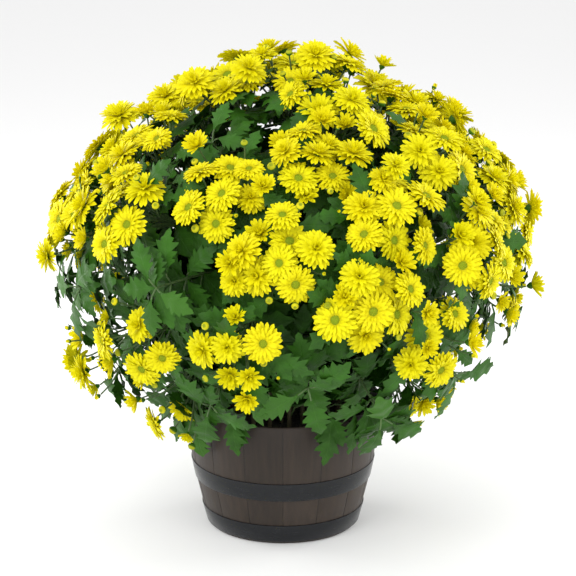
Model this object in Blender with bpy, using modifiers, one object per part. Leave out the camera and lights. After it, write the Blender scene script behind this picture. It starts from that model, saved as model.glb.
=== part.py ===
"""Pot chrysanthemum: a round crown of yellow blooms on branched stems, in a half-barrel pot."""

import math
import random

import bmesh
import bpy
from mathutils import Matrix, Vector
from mathutils.bvhtree import BVHTree

# The pot. Metres, Z up, origin at the middle of the foot, front towards -Y.
POT_HEIGHT = 0.170
RIM_RADIUS = 0.127
WALL = 0.0040
FLOOR_TOP = 0.009
STAVES = 15
GROOVE_HALF_WIDTH = math.radians(0.75)
GROOVE_DEPTH = 0.0011
# The barrel's outer wall, as (height, radius) pairs from foot to rim.
BARREL = (
    (0.0, 0.0960),
    (0.004, 0.0985),
    (0.030, 0.1055),
    (0.060, 0.1128),
    (0.092, 0.1193),
    (POT_HEIGHT, RIM_RADIUS),
)
DRAIN_HOLES = 4
DRAIN_RADIUS = 0.006
DRAIN_CIRCLE = 0.060
DRAIN_SIDES = 8

# The two hoops, as (bottom, top) heights.
HOOP_MIDDLE = (0.0645, 0.0895)
HOOP_BASE = (0.0070, 0.0275)
HOOP_SIDES = 30
HOOP_PROUD = 0.0016
HOOP_GAP = 0.00045

# The potting soil, and the holes that the stems stand in.
GAP = 0.0003
SOIL_TOP = 0.152
SOIL_SIDES = 30
ROOT_DEPTH = 0.022
HOLE_EASE = 0.0007
ROOT_CIRCLE = 0.094

# The crown: an upright ellipsoid that the blooms open on.
CROWN_RADIUS = 0.316
CROWN_HALF_HEIGHT = 0.257
CROWN_CENTRE = Vector((0.006, 0.0, 0.372))
LOWEST_LATITUDE = math.radians(-58)
STEMS = 54
FIRST_AZIMUTH = math.radians(40)
GOLDEN_ANGLE = math.pi * (3 - math.sqrt(5))
AIM_WANDER = math.radians(3.5)
# How far each stem reaches, as a share of the crown's radius, so that the crown is lumpy.
REACH = (0.955, 1.045)
# How far the crown's shoulders are drawn in from the ellipsoid.
SHOULDER_CUT = 0.22
LAYOUT_SEED = 23
# Stems whose first random draw left something tangled, with the draw used instead.
REDRAWN = {18: 1, 23: 1, 25: 2, 29: 1, 30: 1, 39: 1, 41: 1, 48: 2, 50: 6}
# Stems that bear leaves and no open blooms, counted down the spiral.
LEAFY_STEMS = (4, 24, 25, 30, 35, 37, 39, 41, 42, 44, 46, 48, 49, 50, 53)

# Each stem keeps this clear of the planes between it and its neighbours.
CELL_MARGIN = 0.0006
WIDEST_CELL = math.radians(75)
HEAD_SHARE = 0.66
STEM_RADIUS = 0.0026
STALK_RADIUS = 0.0011
STEM_FOOT = 0.004
# Where a stem's rings stand along its curve, how slim they are, and how long the curve runs
# upright from the soil and straight into its first fork, as shares of its span.
STEM_SHARES = (0.36, 0.70)
STEM_SLIMMING = 0.95
STEM_RISE = 0.40
STEM_ARRIVAL = 0.30
# The dome that a stem's stalks leave: its radius, and its height and side bumps as shares of it.
HEAD_RADIUS = 0.0070
HEAD_RISE = 0.9
HEAD_BUMP = 0.42

# Blooms and buds: radius ranges, the fall between tiers, and the tip counts.
OPEN_BLOOM = (0.0215, 0.0268)
YOUNG_BLOOM = (0.0145, 0.0180)
BUD = (0.0042, 0.0058)
# Blooms and buds on a stem that opens above each latitude.
HEADS = (
    (math.radians(-4), (8, 1)),
    (math.radians(-28), (6, 2)),
    (math.radians(-90), (4, 2)),
)
TIER_DROP = 0.016
TIER_SPACING = 0.85
# How much a bloom turns up from the crown's outward direction, and how far it strays.
FACING_LIFT = 0.22
FACING_STRAY = 0.10
NOTCH_SHARE = 0.77
TIP_LIFT = 0.10
DISC_SHARE = 0.22
CALYX_SHARE = 0.26
BUD_SIDES = 6
BUD_TIP = 0.8
FULL_TIPS = 7
FEW_TIPS = 6
FULL_FROM = 0.0248
LEAST_BLOOM = 0.0125
WHORL_PITCH = 1.55
PACKING_ROUNDS = 120
PACKING_SPREAD = 1.12

# Pairing stalks with the faces of a head: how far a skin is drawn in from shared edges for the
# crossing test, what a crossing costs beside a stalk's lean, and the tries.
SHY = 0.008
CROSSING_COST = 4.0
HEAD_TURNS = 8
SHUFFLES = 24

# Leaves: blade length range, and half of the lobed outline as (along, out) shares of it.
LEAF_LENGTH = (0.054, 0.070)
PETIOLE = 0.014
LEAF_HALF_OUTLINE = ((0.22, 0.27), (0.34, 0.15), (0.58, 0.31), (0.70, 0.13))
LEAF_BASE = (0.09, 0.035)
LEAF_DROOP = 0.14
LEAF_CURL = 0.50
LEAF_HANG = 0.30
# A petiole's direction, by the shoot and across it, and the forward lean of its blade.
PETIOLE_LEAN = (0.62, 0.78)
BLADE_LEAN = 0.16
# The blade's neck, along it and below it, and the high point of its upper face.
LEAF_NECK = (0.15, 0.0024)
LEAF_PEAK = (0.45, 0.0012)
# A fork on a leafy shoot: its radius and its height, as shares of the stem's radius.
FORK_WIDTH = 1.2
FORK_RISE = 1.6
LEAF_TURNS = (0, 12, -12, 24, -24, 36, -36, 48, -48)
LEAF_SHRINKS = (1.0, 0.9, 0.8, 0.7, 0.62)
SHOOT_LEVELS = (0.60, 0.71, 0.82, 0.92)
LOW_SHOOT_LEVELS = (0.72, 0.87)
LOW_SHOOT = math.radians(-47)

# Colour slots of a stem's faces.
GREEN = 0
YELLOW = 1


def clear_scene():
    for old in list(bpy.data.objects):
        bpy.data.objects.remove(old, do_unlink=True)


def finish(name, colour, roughness, metallic=0.0):
    """A plain Principled finish."""
    material = bpy.data.materials.new(name)
    material.use_nodes = True
    shader = material.node_tree.nodes["Principled BSDF"]
    shader.inputs["Base Color"].default_value = (*colour, 1.0)
    shader.inputs["Roughness"].default_value = roughness
    shader.inputs["Metallic"].default_value = metallic
    material.diffuse_color = (*colour, 1.0)
    return material


def add_object(name, bm, materials, collection):
    """Stores the mesh as one named object, with flat or smooth faces by angle."""
    mesh = bpy.data.meshes.new(name)
    bm.to_mesh(mesh)
    bm.free()
    for material in materials:
        mesh.materials.append(material)
    mesh.shade_smooth()
    mesh.set_sharp_from_angle(angle=math.radians(30))
    made = bpy.data.objects.new(name, mesh)
    collection.objects.link(made)
    return made


def barrel_radius(height):
    """The outer wall's radius at a height, read along the profile."""
    for (low, narrow), (high, wide) in zip(BARREL, BARREL[1:]):
        if height <= high:
            return narrow + (wide - narrow) * (height - low) / (high - low)
    return RIM_RADIUS


def stave_angles():
    """Four corners for each stave: the groove's bottom, its two lips and the stave's middle."""
    pitch = math.tau / STAVES
    steps = (0.0, GROOVE_HALF_WIDTH, pitch / 2, pitch - GROOVE_HALF_WIDTH)
    front = -math.pi / 2
    return [front + stave * pitch + step for stave in range(STAVES) for step in steps]


def grooved_ring(radius, height, groove=0.0):
    """A level ring. With a groove, every fourth corner is drawn in by its depth."""
    points = []
    for k, angle in enumerate(stave_angles()):
        reach = radius - (groove if k % 4 == 0 else 0.0)
        points.append(Vector((reach * math.cos(angle), reach * math.sin(angle), height)))
    return points


def loft(bm, rings):
    """Bridges level rings of like corners one after another, and caps the first and the last."""
    loops = []
    for ring in rings:
        verts = [bm.verts.new(point) for point in ring]
        loops.append([bm.edges.new(pair) for pair in zip(verts, verts[1:] + verts[:1])])
    for lower, upper in zip(loops, loops[1:]):
        bmesh.ops.bridge_loops(bm, edges=lower + upper)
    for end in (loops[0], loops[-1]):
        bmesh.ops.contextual_create(bm, geom=end)
    bmesh.ops.recalc_face_normals(bm, faces=bm.faces)


def make_pot(collection, cutters, material):
    """The barrel-shaped pot: flat foot, grooved outer wall, plain inner wall and drained floor."""
    rings = [grooved_ring(radius, height, GROOVE_DEPTH) for height, radius in BARREL]
    rings.append(grooved_ring(RIM_RADIUS - WALL, POT_HEIGHT))
    rings.append(grooved_ring(barrel_radius(FLOOR_TOP) - WALL, FLOOR_TOP))
    bm = bmesh.new()
    loft(bm, rings)
    pot = add_object("pot", bm, [material], collection)
    drills = bmesh.new()
    for k in range(DRAIN_HOLES):
        turn = math.tau * (k + 0.5) / DRAIN_HOLES
        place = Vector((DRAIN_CIRCLE * math.cos(turn), DRAIN_CIRCLE * math.sin(turn), FLOOR_TOP / 2))
        add_column(drills, place, DRAIN_RADIUS, 3 * FLOOR_TOP, DRAIN_SIDES)
    cut_with(pot, add_object("drain_cutter", drills, [], cutters))


def add_column(bm, middle, radius, height, sides):
    """An upright prism round a point, its first corner towards +Y."""
    bmesh.ops.create_cone(
        bm, cap_ends=True, segments=sides, radius1=radius, radius2=radius, depth=height,
        matrix=Matrix.Translation(middle),
    )


def cut_with(target, cutter):
    """Takes the cutter's shape out of the target, and keeps the cutter as a guide."""
    cutter.hide_render = True
    cutter.display_type = "WIRE"
    cut = target.modifiers.new("cut", "BOOLEAN")
    cut.operation = "DIFFERENCE"
    cut.object = cutter
    cut.solver = "EXACT"


def make_hoop(name, span, collection, material):
    """A flat band round the staves, following the wall's slope: its section turned about Z."""
    inside, outside = HOOP_GAP, HOOP_GAP + HOOP_PROUD
    low, high = span
    section = ((high, inside), (high, outside), (low, outside), (low, inside))
    bm = bmesh.new()
    verts = [bm.verts.new((0.0, -barrel_radius(height) - out, height)) for height, out in section]
    for pair in zip(verts, verts[1:] + verts[:1]):
        bm.edges.new(pair)
    hoop = add_object(name, bm, [material], collection)
    turn = hoop.modifiers.new("turn", "SCREW")
    turn.axis = "Z"
    turn.angle = math.tau
    turn.steps = turn.render_steps = HOOP_SIDES
    turn.use_merge_vertices = True
    turn.merge_threshold = 0.00001


def make_soil(roots, collection, cutters, material):
    """Potting soil up to a finger below the rim, with a plain hole for each stem."""
    bottom, top = FLOOR_TOP + GAP, SOIL_TOP
    rise = (RIM_RADIUS - barrel_radius(FLOOR_TOP)) / (POT_HEIGHT - FLOOR_TOP)
    narrow = barrel_radius(FLOOR_TOP) - WALL - 2 * GAP
    bm = bmesh.new()
    bmesh.ops.create_cone(
        bm, cap_ends=True, segments=SOIL_SIDES, radius1=narrow,
        radius2=narrow + rise * (top - FLOOR_TOP), depth=top - bottom,
        matrix=Matrix.Translation((0.0, 0.0, (top + bottom) / 2)),
    )
    soil = add_object("soil", bm, [material], collection)
    drills = bmesh.new()
    for root in roots:
        low = SOIL_TOP - ROOT_DEPTH - GAP
        high = SOIL_TOP + ROOT_DEPTH
        middle = Vector((root.x, root.y, (low + high) / 2))
        add_column(drills, middle, STEM_RADIUS + HOLE_EASE, high - low, 3)
    cut_with(soil, add_object("hole_cutter", drills, [], cutters))


def tube_ring(centre, radius):
    """Three corners round an upright axis, the first towards +Y."""
    return [
        centre + Vector((radius * math.cos(turn), radius * math.sin(turn), 0.0))
        for turn in (math.pi / 2 + math.tau * k / 3 for k in range(3))
    ]


def crown_point(latitude, azimuth, share=1.0):
    """A point of the crown's surface, or that share of the way to it from the centre."""
    out = CROWN_RADIUS * math.cos(latitude)
    reach = Vector(
        (out * math.cos(azimuth), out * math.sin(azimuth), CROWN_HALF_HEIGHT * math.sin(latitude))
    )
    return CROWN_CENTRE + share * reach


def crown_normal(point):
    """The outward direction of the ellipsoid through a point."""
    away = point - CROWN_CENTRE
    return Vector(
        (away.x / CROWN_RADIUS**2, away.y / CROWN_RADIUS**2, away.z / CROWN_HALF_HEIGHT**2)
    ).normalized()


def onto_crown(point, reach, drop):
    """The point moved along its ray from the centre to a share of the crown, less a drop."""
    away = point - CROWN_CENTRE
    scale = 1 / math.sqrt(
        (away.x**2 + away.y**2) / CROWN_RADIUS**2 + away.z**2 / CROWN_HALF_HEIGHT**2
    )
    return CROWN_CENTRE + away * scale * reach - away.normalized() * drop


def stem_aims(draw):
    """Where the stems open: (latitude, azimuth) down a golden-angle spiral, a little disturbed."""
    aims = []
    for k in range(STEMS):
        share = (k + 0.5) / STEMS
        latitude = math.asin(1 - share * (1 - math.sin(LOWEST_LATITUDE)))
        azimuth = FIRST_AZIMUTH + k * GOLDEN_ANGLE
        latitude += draw.uniform(-AIM_WANDER, AIM_WANDER)
        azimuth += draw.uniform(-AIM_WANDER, AIM_WANDER) / max(0.3, math.cos(latitude))
        aims.append((min(latitude, math.radians(86)), azimuth))
    return aims


def stem_reach(latitude, draw):
    """How far a stem reaches as a share of the ellipsoid: less at the crown's shoulders."""
    cut = SHOULDER_CUT * math.cos(latitude) * max(0.0, math.sin(latitude)) ** 2
    return draw.uniform(*REACH) * (1 - cut)


def cell_walls(index, axes):
    """Outward normals of the planes, through the crown's centre, that part a stem from its neighbours."""
    own = axes[index]
    return [
        (other - own).normalized()
        for k, other in enumerate(axes)
        if k != index and own.angle(other) < WIDEST_CELL
    ]


def room_at(point, walls):
    """How far a point lies inside its cell."""
    away = point - CROWN_CENTRE
    return min(-away.dot(wall) for wall in walls)


def head_sizes(latitude, draw):
    """Radii of the blooms and buds of one stem: nine heads high on the crown, fewer below."""
    blooms, buds = next(heads for lowest, heads in HEADS if latitude > lowest)
    sizes = [draw.uniform(*OPEN_BLOOM) for _ in range(blooms)]
    sizes[-1] = draw.uniform(*YOUNG_BLOOM)
    return sizes + [draw.uniform(*BUD) for _ in range(buds)]


def spread_heads(centre, reach, sizes, walls, draw):
    """Places the heads in a golden-angle whorl, then pushes them apart inside the stem's cell."""
    normal = crown_normal(centre)
    side = normal.orthogonal().normalized()
    across = normal.cross(side)
    turn = draw.uniform(0, math.tau)
    pitch = WHORL_PITCH * sum(sizes) / len(sizes)
    drops = [TIER_DROP if size <= BUD[1] else TIER_DROP * (k % 2) for k, size in enumerate(sizes)]
    places = []
    for k in range(len(sizes)):
        off = pitch * math.sqrt(k + 0.3)
        angle = turn + k * GOLDEN_ANGLE
        away = side * math.cos(angle) + across * math.sin(angle)
        places.append(onto_crown(centre + away * off, reach, drops[k]))
    for _ in range(PACKING_ROUNDS):
        for i, place in enumerate(places):
            push = Vector()
            for j, other in enumerate(places):
                if i == j:
                    continue
                apart = place - other
                lack = spacing(i, j, sizes, drops) * PACKING_SPREAD - apart.length
                if lack > 0:
                    push += apart.normalized() * lack * 0.5
            for wall in walls:
                lack = sizes[i] + CELL_MARGIN + (place - CROWN_CENTRE).dot(wall)
                if lack > 0:
                    push -= wall * lack
            places[i] = onto_crown(place + push, reach, drops[i])
    return places, trimmed(places, sizes, drops, walls)


def spacing(i, j, sizes, drops):
    """The least distance between two heads: less where they stand on different tiers."""
    share = 1.0 if drops[i] == drops[j] else TIER_SPACING
    return (sizes[i] + sizes[j]) * share + CELL_MARGIN


def trimmed(places, sizes, drops, walls):
    """The heads' radii, each cut back to the room that packing left it."""
    radii = []
    for i, place in enumerate(places):
        radius = min(sizes[i], room_at(place, walls) - CELL_MARGIN)
        for j, other in enumerate(places):
            if i != j:
                need = spacing(i, j, sizes, drops)
                radius = min(radius, sizes[i] * (place - other).length / need)
        radii.append(radius)
    return radii


def mean(points):
    return sum(points, Vector()) / len(points)


def ring_at(centre, normal, radius, turn):
    """Three corners round a centre, anticlockwise as seen from ahead."""
    side, across = frame_of(normal, 0.0)
    corners = []
    for k in range(3):
        angle = turn + math.tau * k / 3
        corners.append(centre + radius * (side * math.cos(angle) + across * math.sin(angle)))
    return corners


def frame_of(normal, turn):
    """Two directions across a normal, turned about it."""
    side = Matrix.Rotation(turn, 3, normal) @ normal.orthogonal().normalized()
    return side, normal.cross(side)


def untwisted(start, centre, normal, radius):
    """A ring whose corners line up with those of the ring that it continues."""
    middle = mean(start)
    side, across = frame_of(normal, 0.0)
    bearing = Vector((0.0, 0.0))
    for k, point in enumerate(start):
        arm = point - middle
        angle = math.atan2(arm.dot(across), arm.dot(side)) - math.tau * k / 3
        bearing += Vector((math.cos(angle), math.sin(angle)))
    return ring_at(centre, normal, radius, math.atan2(bearing.y, bearing.x))


def matched(start, ring):
    """The ring's corners, counted from the one that gives the tube the least twist."""
    middle, end = mean(start), mean(ring)

    def turned(shift):
        return [ring[(k + shift) % 3] for k in range(3)]

    def agreement(corners):
        return sum(
            (a - middle).normalized().dot((b - end).normalized()) for a, b in zip(start, corners)
        )

    return max((turned(shift) for shift in range(3)), key=agreement)


class Skin:
    """A growing skin: points, the first three shared with its parent, and faces with colour slots."""

    def __init__(self, start):
        self.points = list(start)
        self.faces = []
        self.ring = [0, 1, 2]

    def corners(self):
        return [self.points[k] for k in self.ring]

    def tube_to(self, ring, slot):
        """Continues the tube to a ring, with two triangles a side, split along the shorter way."""
        old, start = self.ring, self.corners()
        first = len(self.points)
        new = [first, first + 1, first + 2]
        self.points += ring
        rising = sum((start[k] - ring[(k + 1) % 3]).length for k in range(3))
        falling = sum((start[(k + 1) % 3] - ring[k]).length for k in range(3))
        for k in range(3):
            after = (k + 1) % 3
            if rising < falling:
                sides = ((old[k], old[after], new[after]), (old[k], new[after], new[k]))
            else:
                sides = ((old[k], old[after], new[k]), (old[after], new[after], new[k]))
            self.faces += [(corners, slot) for corners in sides]
        self.ring = new

    def open_to(self, outline, peak, facing, slot):
        """Spreads the tube's end to an outline, and closes that with a fan to its peak."""
        neck = self.ring
        count = len(outline)
        middle = mean([self.points[k] for k in neck])
        side, across = frame_of(facing, 0.0)

        def bearing(point):
            arm = point - middle
            return math.atan2(arm.dot(across), arm.dot(side))

        corners = [bearing(self.points[k]) for k in neck]
        first = len(self.points)
        self.points += outline
        owner = []
        for k in range(count):
            turn = bearing((outline[k] + outline[(k + 1) % count]) / 2)
            owner.append(min(range(3), key=lambda c: abs(math.remainder(turn - corners[c], math.tau))))
        for k in range(count):
            after = (k + 1) % count
            self.faces.append(((first + after, first + k, neck[owner[k]]), slot))
            for hop in range((owner[after] - owner[k]) % 3):
                here, there = (owner[k] + hop) % 3, (owner[k] + hop + 1) % 3
                self.faces.append(((neck[there], first + after, neck[here]), slot))
        top = len(self.points)
        self.points.append(peak)
        for k in range(count):
            self.faces.append(((first + k, first + (k + 1) % count, top), slot))

    def tree(self):
        """The skin for crossing tests, drawn in a little from the edges it shares."""
        middle = mean(self.points[:3])
        near = [point.lerp(middle, SHY) for point in self.points[:3]]
        return BVHTree.FromPolygons(near + self.points[3:], [corners for corners, _ in self.faces])

    def lean(self):
        """How far the skin's first step leans from the face it grows from: 0 is square."""
        a, b, c = self.points[:3]
        square = (b - a).cross(c - a).normalized()
        return 1 - square.dot((mean(self.points[3:6]) - mean(self.points[:3])).normalized())

    def sew(self, bm, start):
        """Adds the skin to a mesh, on the corners of its parent, and returns its corners there."""
        verts = list(start) + [bm.verts.new(point) for point in self.points[3:]]
        for corners, slot in self.faces:
            bm.faces.new([verts[k] for k in corners]).material_index = slot
        return verts


def bloom_outline(bloom):
    """Tips and notches of a bloom's rim, the tips a little raised."""
    side, across = frame_of(bloom["facing"], bloom["turn"])
    points = []
    for k in range(2 * bloom["tips"]):
        angle = math.pi * k / bloom["tips"]
        tip = k % 2 == 0
        reach = bloom["radius"] if tip else bloom["radius"] * NOTCH_SHARE
        lift = bloom["radius"] * TIP_LIFT if tip else 0.0
        arm = side * math.cos(angle) + across * math.sin(angle)
        points.append(bloom["place"] + reach * arm + bloom["facing"] * lift)
    return points


def bloom_skin(start, bloom):
    """A stalk from its start face to the bloom or bud that opens at its end."""
    place, facing, radius = bloom["place"], bloom["facing"], bloom["radius"]
    skin = Skin(start)
    below = radius if bloom["bud"] else radius * CALYX_SHARE
    skin.tube_to(untwisted(start, place - facing * below, facing, STALK_RADIUS), GREEN)
    if bloom["bud"]:
        side, across = frame_of(facing, bloom["turn"])
        turns = [math.tau * k / BUD_SIDES for k in range(BUD_SIDES)]
        rim = [place + radius * (side * math.cos(t) + across * math.sin(t)) for t in turns]
        skin.open_to(rim, place + facing * radius * BUD_TIP, facing, YELLOW)
    else:
        skin.open_to(bloom_outline(bloom), place + facing * radius * DISC_SHARE, facing, YELLOW)
    return skin


def leaf_outline(base, along, normal, length):
    """The lobed rim of a blade, arched along its length and across."""
    out = normal.cross(along)
    shares = [(x, -y) for x, y in LEAF_HALF_OUTLINE] + [(1.0, 0.0)]
    shares += [(x, y) for x, y in reversed(LEAF_HALF_OUTLINE)]
    points = [base + length * (along * LEAF_BASE[0] + normal * LEAF_BASE[1])]
    for x, y in shares:
        sag = LEAF_DROOP * x * x + LEAF_CURL * y * y
        points.append(base + length * (along * x + out * y - normal * sag))
    return points


def leaf_skin(start, leaf):
    """A petiole from its start face to the blade that opens at its end."""
    base, along, normal, length = leaf
    skin = Skin(start)
    neck = base + along * length * LEAF_NECK[0] - normal * LEAF_NECK[1]
    skin.tube_to(untwisted(start, neck, normal, STALK_RADIUS), GREEN)
    far, proud = LEAF_PEAK
    peak = base + along * length * far + normal * (proud - LEAF_DROOP * far**2 * length)
    skin.open_to(leaf_outline(base, along, normal, length), peak, normal, GREEN)
    return skin


def shoot_skin(start, ring):
    """The length of shoot between two forks."""
    skin = Skin(start)
    skin.tube_to(matched(start, ring), GREEN)
    return skin


def leaf_frame(node, axis, turn):
    """Petiole end, blade direction and upper side of a leaf that leaves a shoot at a turn."""
    side, _ = frame_of(axis, turn)
    petiole = (axis * PETIOLE_LEAN[0] + side * PETIOLE_LEAN[1]).normalized()
    base = node + petiole * PETIOLE
    hang = LEAF_HANG * (1 - max(0.0, side.z)) * (1 - max(0.0, axis.z))
    along = (side + axis * BLADE_LEAN - Vector((0, 0, hang))).normalized()
    normal = (axis - along * axis.dot(along)).normalized()
    return base, along, normal


def clears_pot(point):
    return point.z > POT_HEIGHT + 0.004 or point.xy.length > RIM_RADIUS + 0.006


def fit_leaf(node, axis, turn, length, walls):
    """A leaf turned or shortened until it stays in its cell and off the pot."""
    for shrink in LEAF_SHRINKS:
        for swing in LEAF_TURNS:
            base, along, normal = leaf_frame(node, axis, turn + math.radians(swing))
            rim = leaf_outline(base, along, normal, length * shrink)
            if all(room_at(p, walls) > CELL_MARGIN and clears_pot(p) for p in rim):
                return base, along, normal, length * shrink
    return None


def fork_dome(ring, axis, height, bumps):
    """A low dome on a ring: its peak, any bump on each side, and the start faces as corner triples."""
    peak = mean(ring) + axis * height
    points = list(ring) + [peak]
    faces = [(0, 1, 3), (1, 2, 3), (2, 0, 3)]
    if not bumps:
        return points, faces
    split = []
    for face in faces:
        a, b, c = (points[k] for k in face)
        out = (b - a).cross(c - a).normalized()
        points.append(mean((a, b, c)) + out * HEAD_RADIUS * HEAD_BUMP)
        split += [(face[k], face[(k + 1) % 3], len(points) - 1) for k in range(3)]
    return points, split


def paired(points, faces, growers, draw):
    """Which grower leaves which face, as (cost, skins by face), with the fewest crossings."""
    starts = [[points[k] for k in face] for face in faces]
    skins = [[grow(start) for grow in growers] for start in starts]
    trees = [[skin.tree() for skin in row] for row in skins]
    leans = [[skin.lean() for skin in row] for row in skins]
    spare = [None] * (len(faces) - len(growers))
    known = {}

    def crossing(a, i, b, j):
        if i is None or j is None:
            return 0
        if (a, i, b, j) not in known:
            known[a, i, b, j] = 1 if trees[a][i].overlap(trees[b][j]) else 0
        return known[a, i, b, j]

    def cost(order):
        total = sum(leans[a][i] for a, i in enumerate(order) if i is not None)
        for a in range(len(order)):
            for b in range(a + 1, len(order)):
                total += CROSSING_COST * crossing(a, order[a], b, order[b])
        return total

    best = None
    for _ in range(SHUFFLES):
        order = list(range(len(growers))) + spare
        draw.shuffle(order)
        least = cost(order)
        better = True
        while better:
            better = False
            for a in range(len(order)):
                for b in range(a + 1, len(order)):
                    order[a], order[b] = order[b], order[a]
                    now = cost(order)
                    if now < least - 1e-9:
                        least, better = now, True
                    else:
                        order[a], order[b] = order[b], order[a]
        if best is None or least < best[0]:
            best = (least, [None if i is None else skins[a][i] for a, i in enumerate(order)])
        if least < CROSSING_COST:
            break
    return best


def best_fork(centre, axis, radius, height, bumps, growers, draw):
    """The turn of a fork's ring, and the pairing on it, that cross least: ring, points, faces, skins."""
    best = None
    for step in range(HEAD_TURNS):
        ring = ring_at(centre, axis, radius, math.tau / 3 * step / HEAD_TURNS)
        points, faces = fork_dome(ring, axis, height, bumps)
        cost, skins = paired(points, faces, growers, draw)
        if best is None or cost < best[0] - 1e-9:
            best = (cost, ring, points, faces, skins)
    return best[1:]


def stem_skin(stem, ring):
    """A stem from its root in the soil, straight up and then leaning out to its first fork."""
    low = stem["root"].xy.to_3d() + Vector((0, 0, SOIL_TOP - ROOT_DEPTH))
    foot = stem["root"].xy.to_3d() + Vector((0, 0, SOIL_TOP + STEM_FOOT))
    goal = mean(ring)
    span = (goal - foot).length
    rise = foot + Vector((0, 0, span * STEM_RISE))
    bends = (foot, rise, goal - stem["axis"] * span * STEM_ARRIVAL, goal)
    skin = Skin(tube_ring(low, STEM_RADIUS))
    skin.faces.append(((2, 1, 0), GREEN))
    skin.tube_to(tube_ring(foot, STEM_RADIUS), GREEN)
    behind = foot
    for share in STEM_SHARES:
        point = bezier(bends, share)
        heading = (bezier(bends, share + 0.05) - behind).normalized()
        slim = STEM_RADIUS * STEM_SLIMMING
        skin.tube_to(untwisted(skin.corners(), point, heading, slim), GREEN)
        behind = point
    skin.tube_to(matched(skin.corners(), ring), GREEN)
    return skin


def bezier(bends, share):
    a, b, c, d = bends
    rest = 1 - share
    return a * rest**3 + b * 3 * rest**2 * share + c * 3 * rest * share**2 + d * share**3


def sew_fork(bm, base, points, faces, skins):
    """Adds a fork's dome on its base ring, and what grows on it. Returns each face's corners."""
    verts = list(base) + [bm.verts.new(point) for point in points[3:]]
    grown = []
    for face, skin in zip(faces, skins):
        corners = [verts[k] for k in face]
        if skin is None:
            bm.faces.new(corners).material_index = GREEN
            grown.append(None)
        else:
            grown.append(skin.sew(bm, corners))
    return grown


def in_ring_order(ring, skin, verts):
    """The skin's last three corners in the mesh, in the order of the ring they were made from."""
    made = verts[-3:]
    return [made[skin.points[-3:].index(corner)] for corner in ring]


def sew_stem(bm, stem, ring):
    """Adds the stem up to its first fork, and returns the fork's base corners in ring order."""
    skin = stem_skin(stem, ring)
    start = [bm.verts.new(point) for point in skin.points[:3]]
    return in_ring_order(ring, skin, skin.sew(bm, start))


def make_flowering_stem(name, stem, materials, collection):
    """One stem with its stalks, blooms and buds, grown as a single skin."""
    draw = random.Random(name)
    growers = [lambda start, bloom=bloom: bloom_skin(start, bloom) for bloom in stem["blooms"]]
    ring, points, faces, skins = best_fork(
        stem["head"], stem["axis"], HEAD_RADIUS, HEAD_RADIUS * HEAD_RISE, True, growers, draw
    )
    bm = bmesh.new()
    base = sew_stem(bm, stem, ring)
    sew_fork(bm, base, points, faces, skins)
    add_object(name, bm, materials, collection)


def make_leafy_shoot(name, stem, material, collection):
    """A shoot that carries two leaves at each fork and three at its tip, planned from the tip down."""
    draw = random.Random(name)
    plans = []
    ahead = None
    for node, leaves in zip(reversed(stem["nodes"]), reversed(stem["leaves"])):
        growers = [lambda start, leaf=leaf: leaf_skin(start, leaf) for leaf in leaves]
        if ahead is not None:
            growers.append(lambda start, ring=ahead: shoot_skin(start, ring))
        width, rise = STEM_RADIUS * FORK_WIDTH, STEM_RADIUS * FORK_RISE
        plan = best_fork(node, stem["axis"], width, rise, False, growers, draw)
        plans.append(plan)
        ahead = plan[0]
    plans.reverse()
    bm = bmesh.new()
    base = sew_stem(bm, stem, plans[0][0])
    for level, (_, points, faces, skins) in enumerate(plans):
        grown = sew_fork(bm, base, points, faces, skins)
        for skin, verts in zip(skins, grown):
            if skin is not None and len(skin.points) == 6:
                base = in_ring_order(plans[level + 1][0], skin, verts)
    add_object(name, bm, [material], collection)


def lay_out():
    """Every stem as a dict: its root, its axis, and its blooms or its leaves."""
    draw = random.Random(LAYOUT_SEED)
    aims = stem_aims(draw)
    reaches = [stem_reach(latitude, draw) for latitude, _ in aims]
    centres = [crown_point(latitude, azimuth) for latitude, azimuth in aims]
    axes = [(centre - CROWN_CENTRE).normalized() for centre in centres]
    stems = []
    for k, (latitude, azimuth) in enumerate(aims):
        own = random.Random(LAYOUT_SEED * 1000 + k + STEMS * REDRAWN.get(k, 0))
        spread = math.sqrt((1 - math.sin(latitude)) / (1 - math.sin(LOWEST_LATITUDE)))
        out = ROOT_CIRCLE * min(1.0, spread)
        root = Vector((out * math.cos(azimuth), out * math.sin(azimuth), SOIL_TOP))
        stem = {"root": root, "axis": axes[k], "latitude": latitude, "leafy": k in LEAFY_STEMS}
        walls = cell_walls(k, axes)
        aim = (latitude, azimuth, reaches[k])
        if stem["leafy"]:
            stem.update(lay_leaves(aim, axes[k], walls, own))
        else:
            stem.update(lay_blooms(aim, walls, own))
        stems.append(stem)
    return stems


def lay_blooms(aim, walls, draw):
    latitude, azimuth, reach = aim
    sizes = head_sizes(latitude, draw)
    places, radii = spread_heads(crown_point(latitude, azimuth), reach, sizes, walls, draw)
    blooms = []
    for size, place, radius in zip(sizes, places, radii):
        facing = crown_normal(place) + Vector((0, 0, FACING_LIFT))
        facing += Vector([draw.uniform(-FACING_STRAY, FACING_STRAY) for _ in range(3)])
        bud = radius < LEAST_BLOOM
        if bud:
            radius = min(radius, BUD[1])
        tips = FULL_TIPS if radius > FULL_FROM else FEW_TIPS
        blooms.append(
            {
                "place": place, "facing": facing.normalized(), "radius": radius, "bud": bud,
                "tips": tips, "turn": draw.uniform(0, math.tau),
            }
        )
    return {"head": crown_point(latitude, azimuth, HEAD_SHARE * reach), "blooms": blooms}


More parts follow.
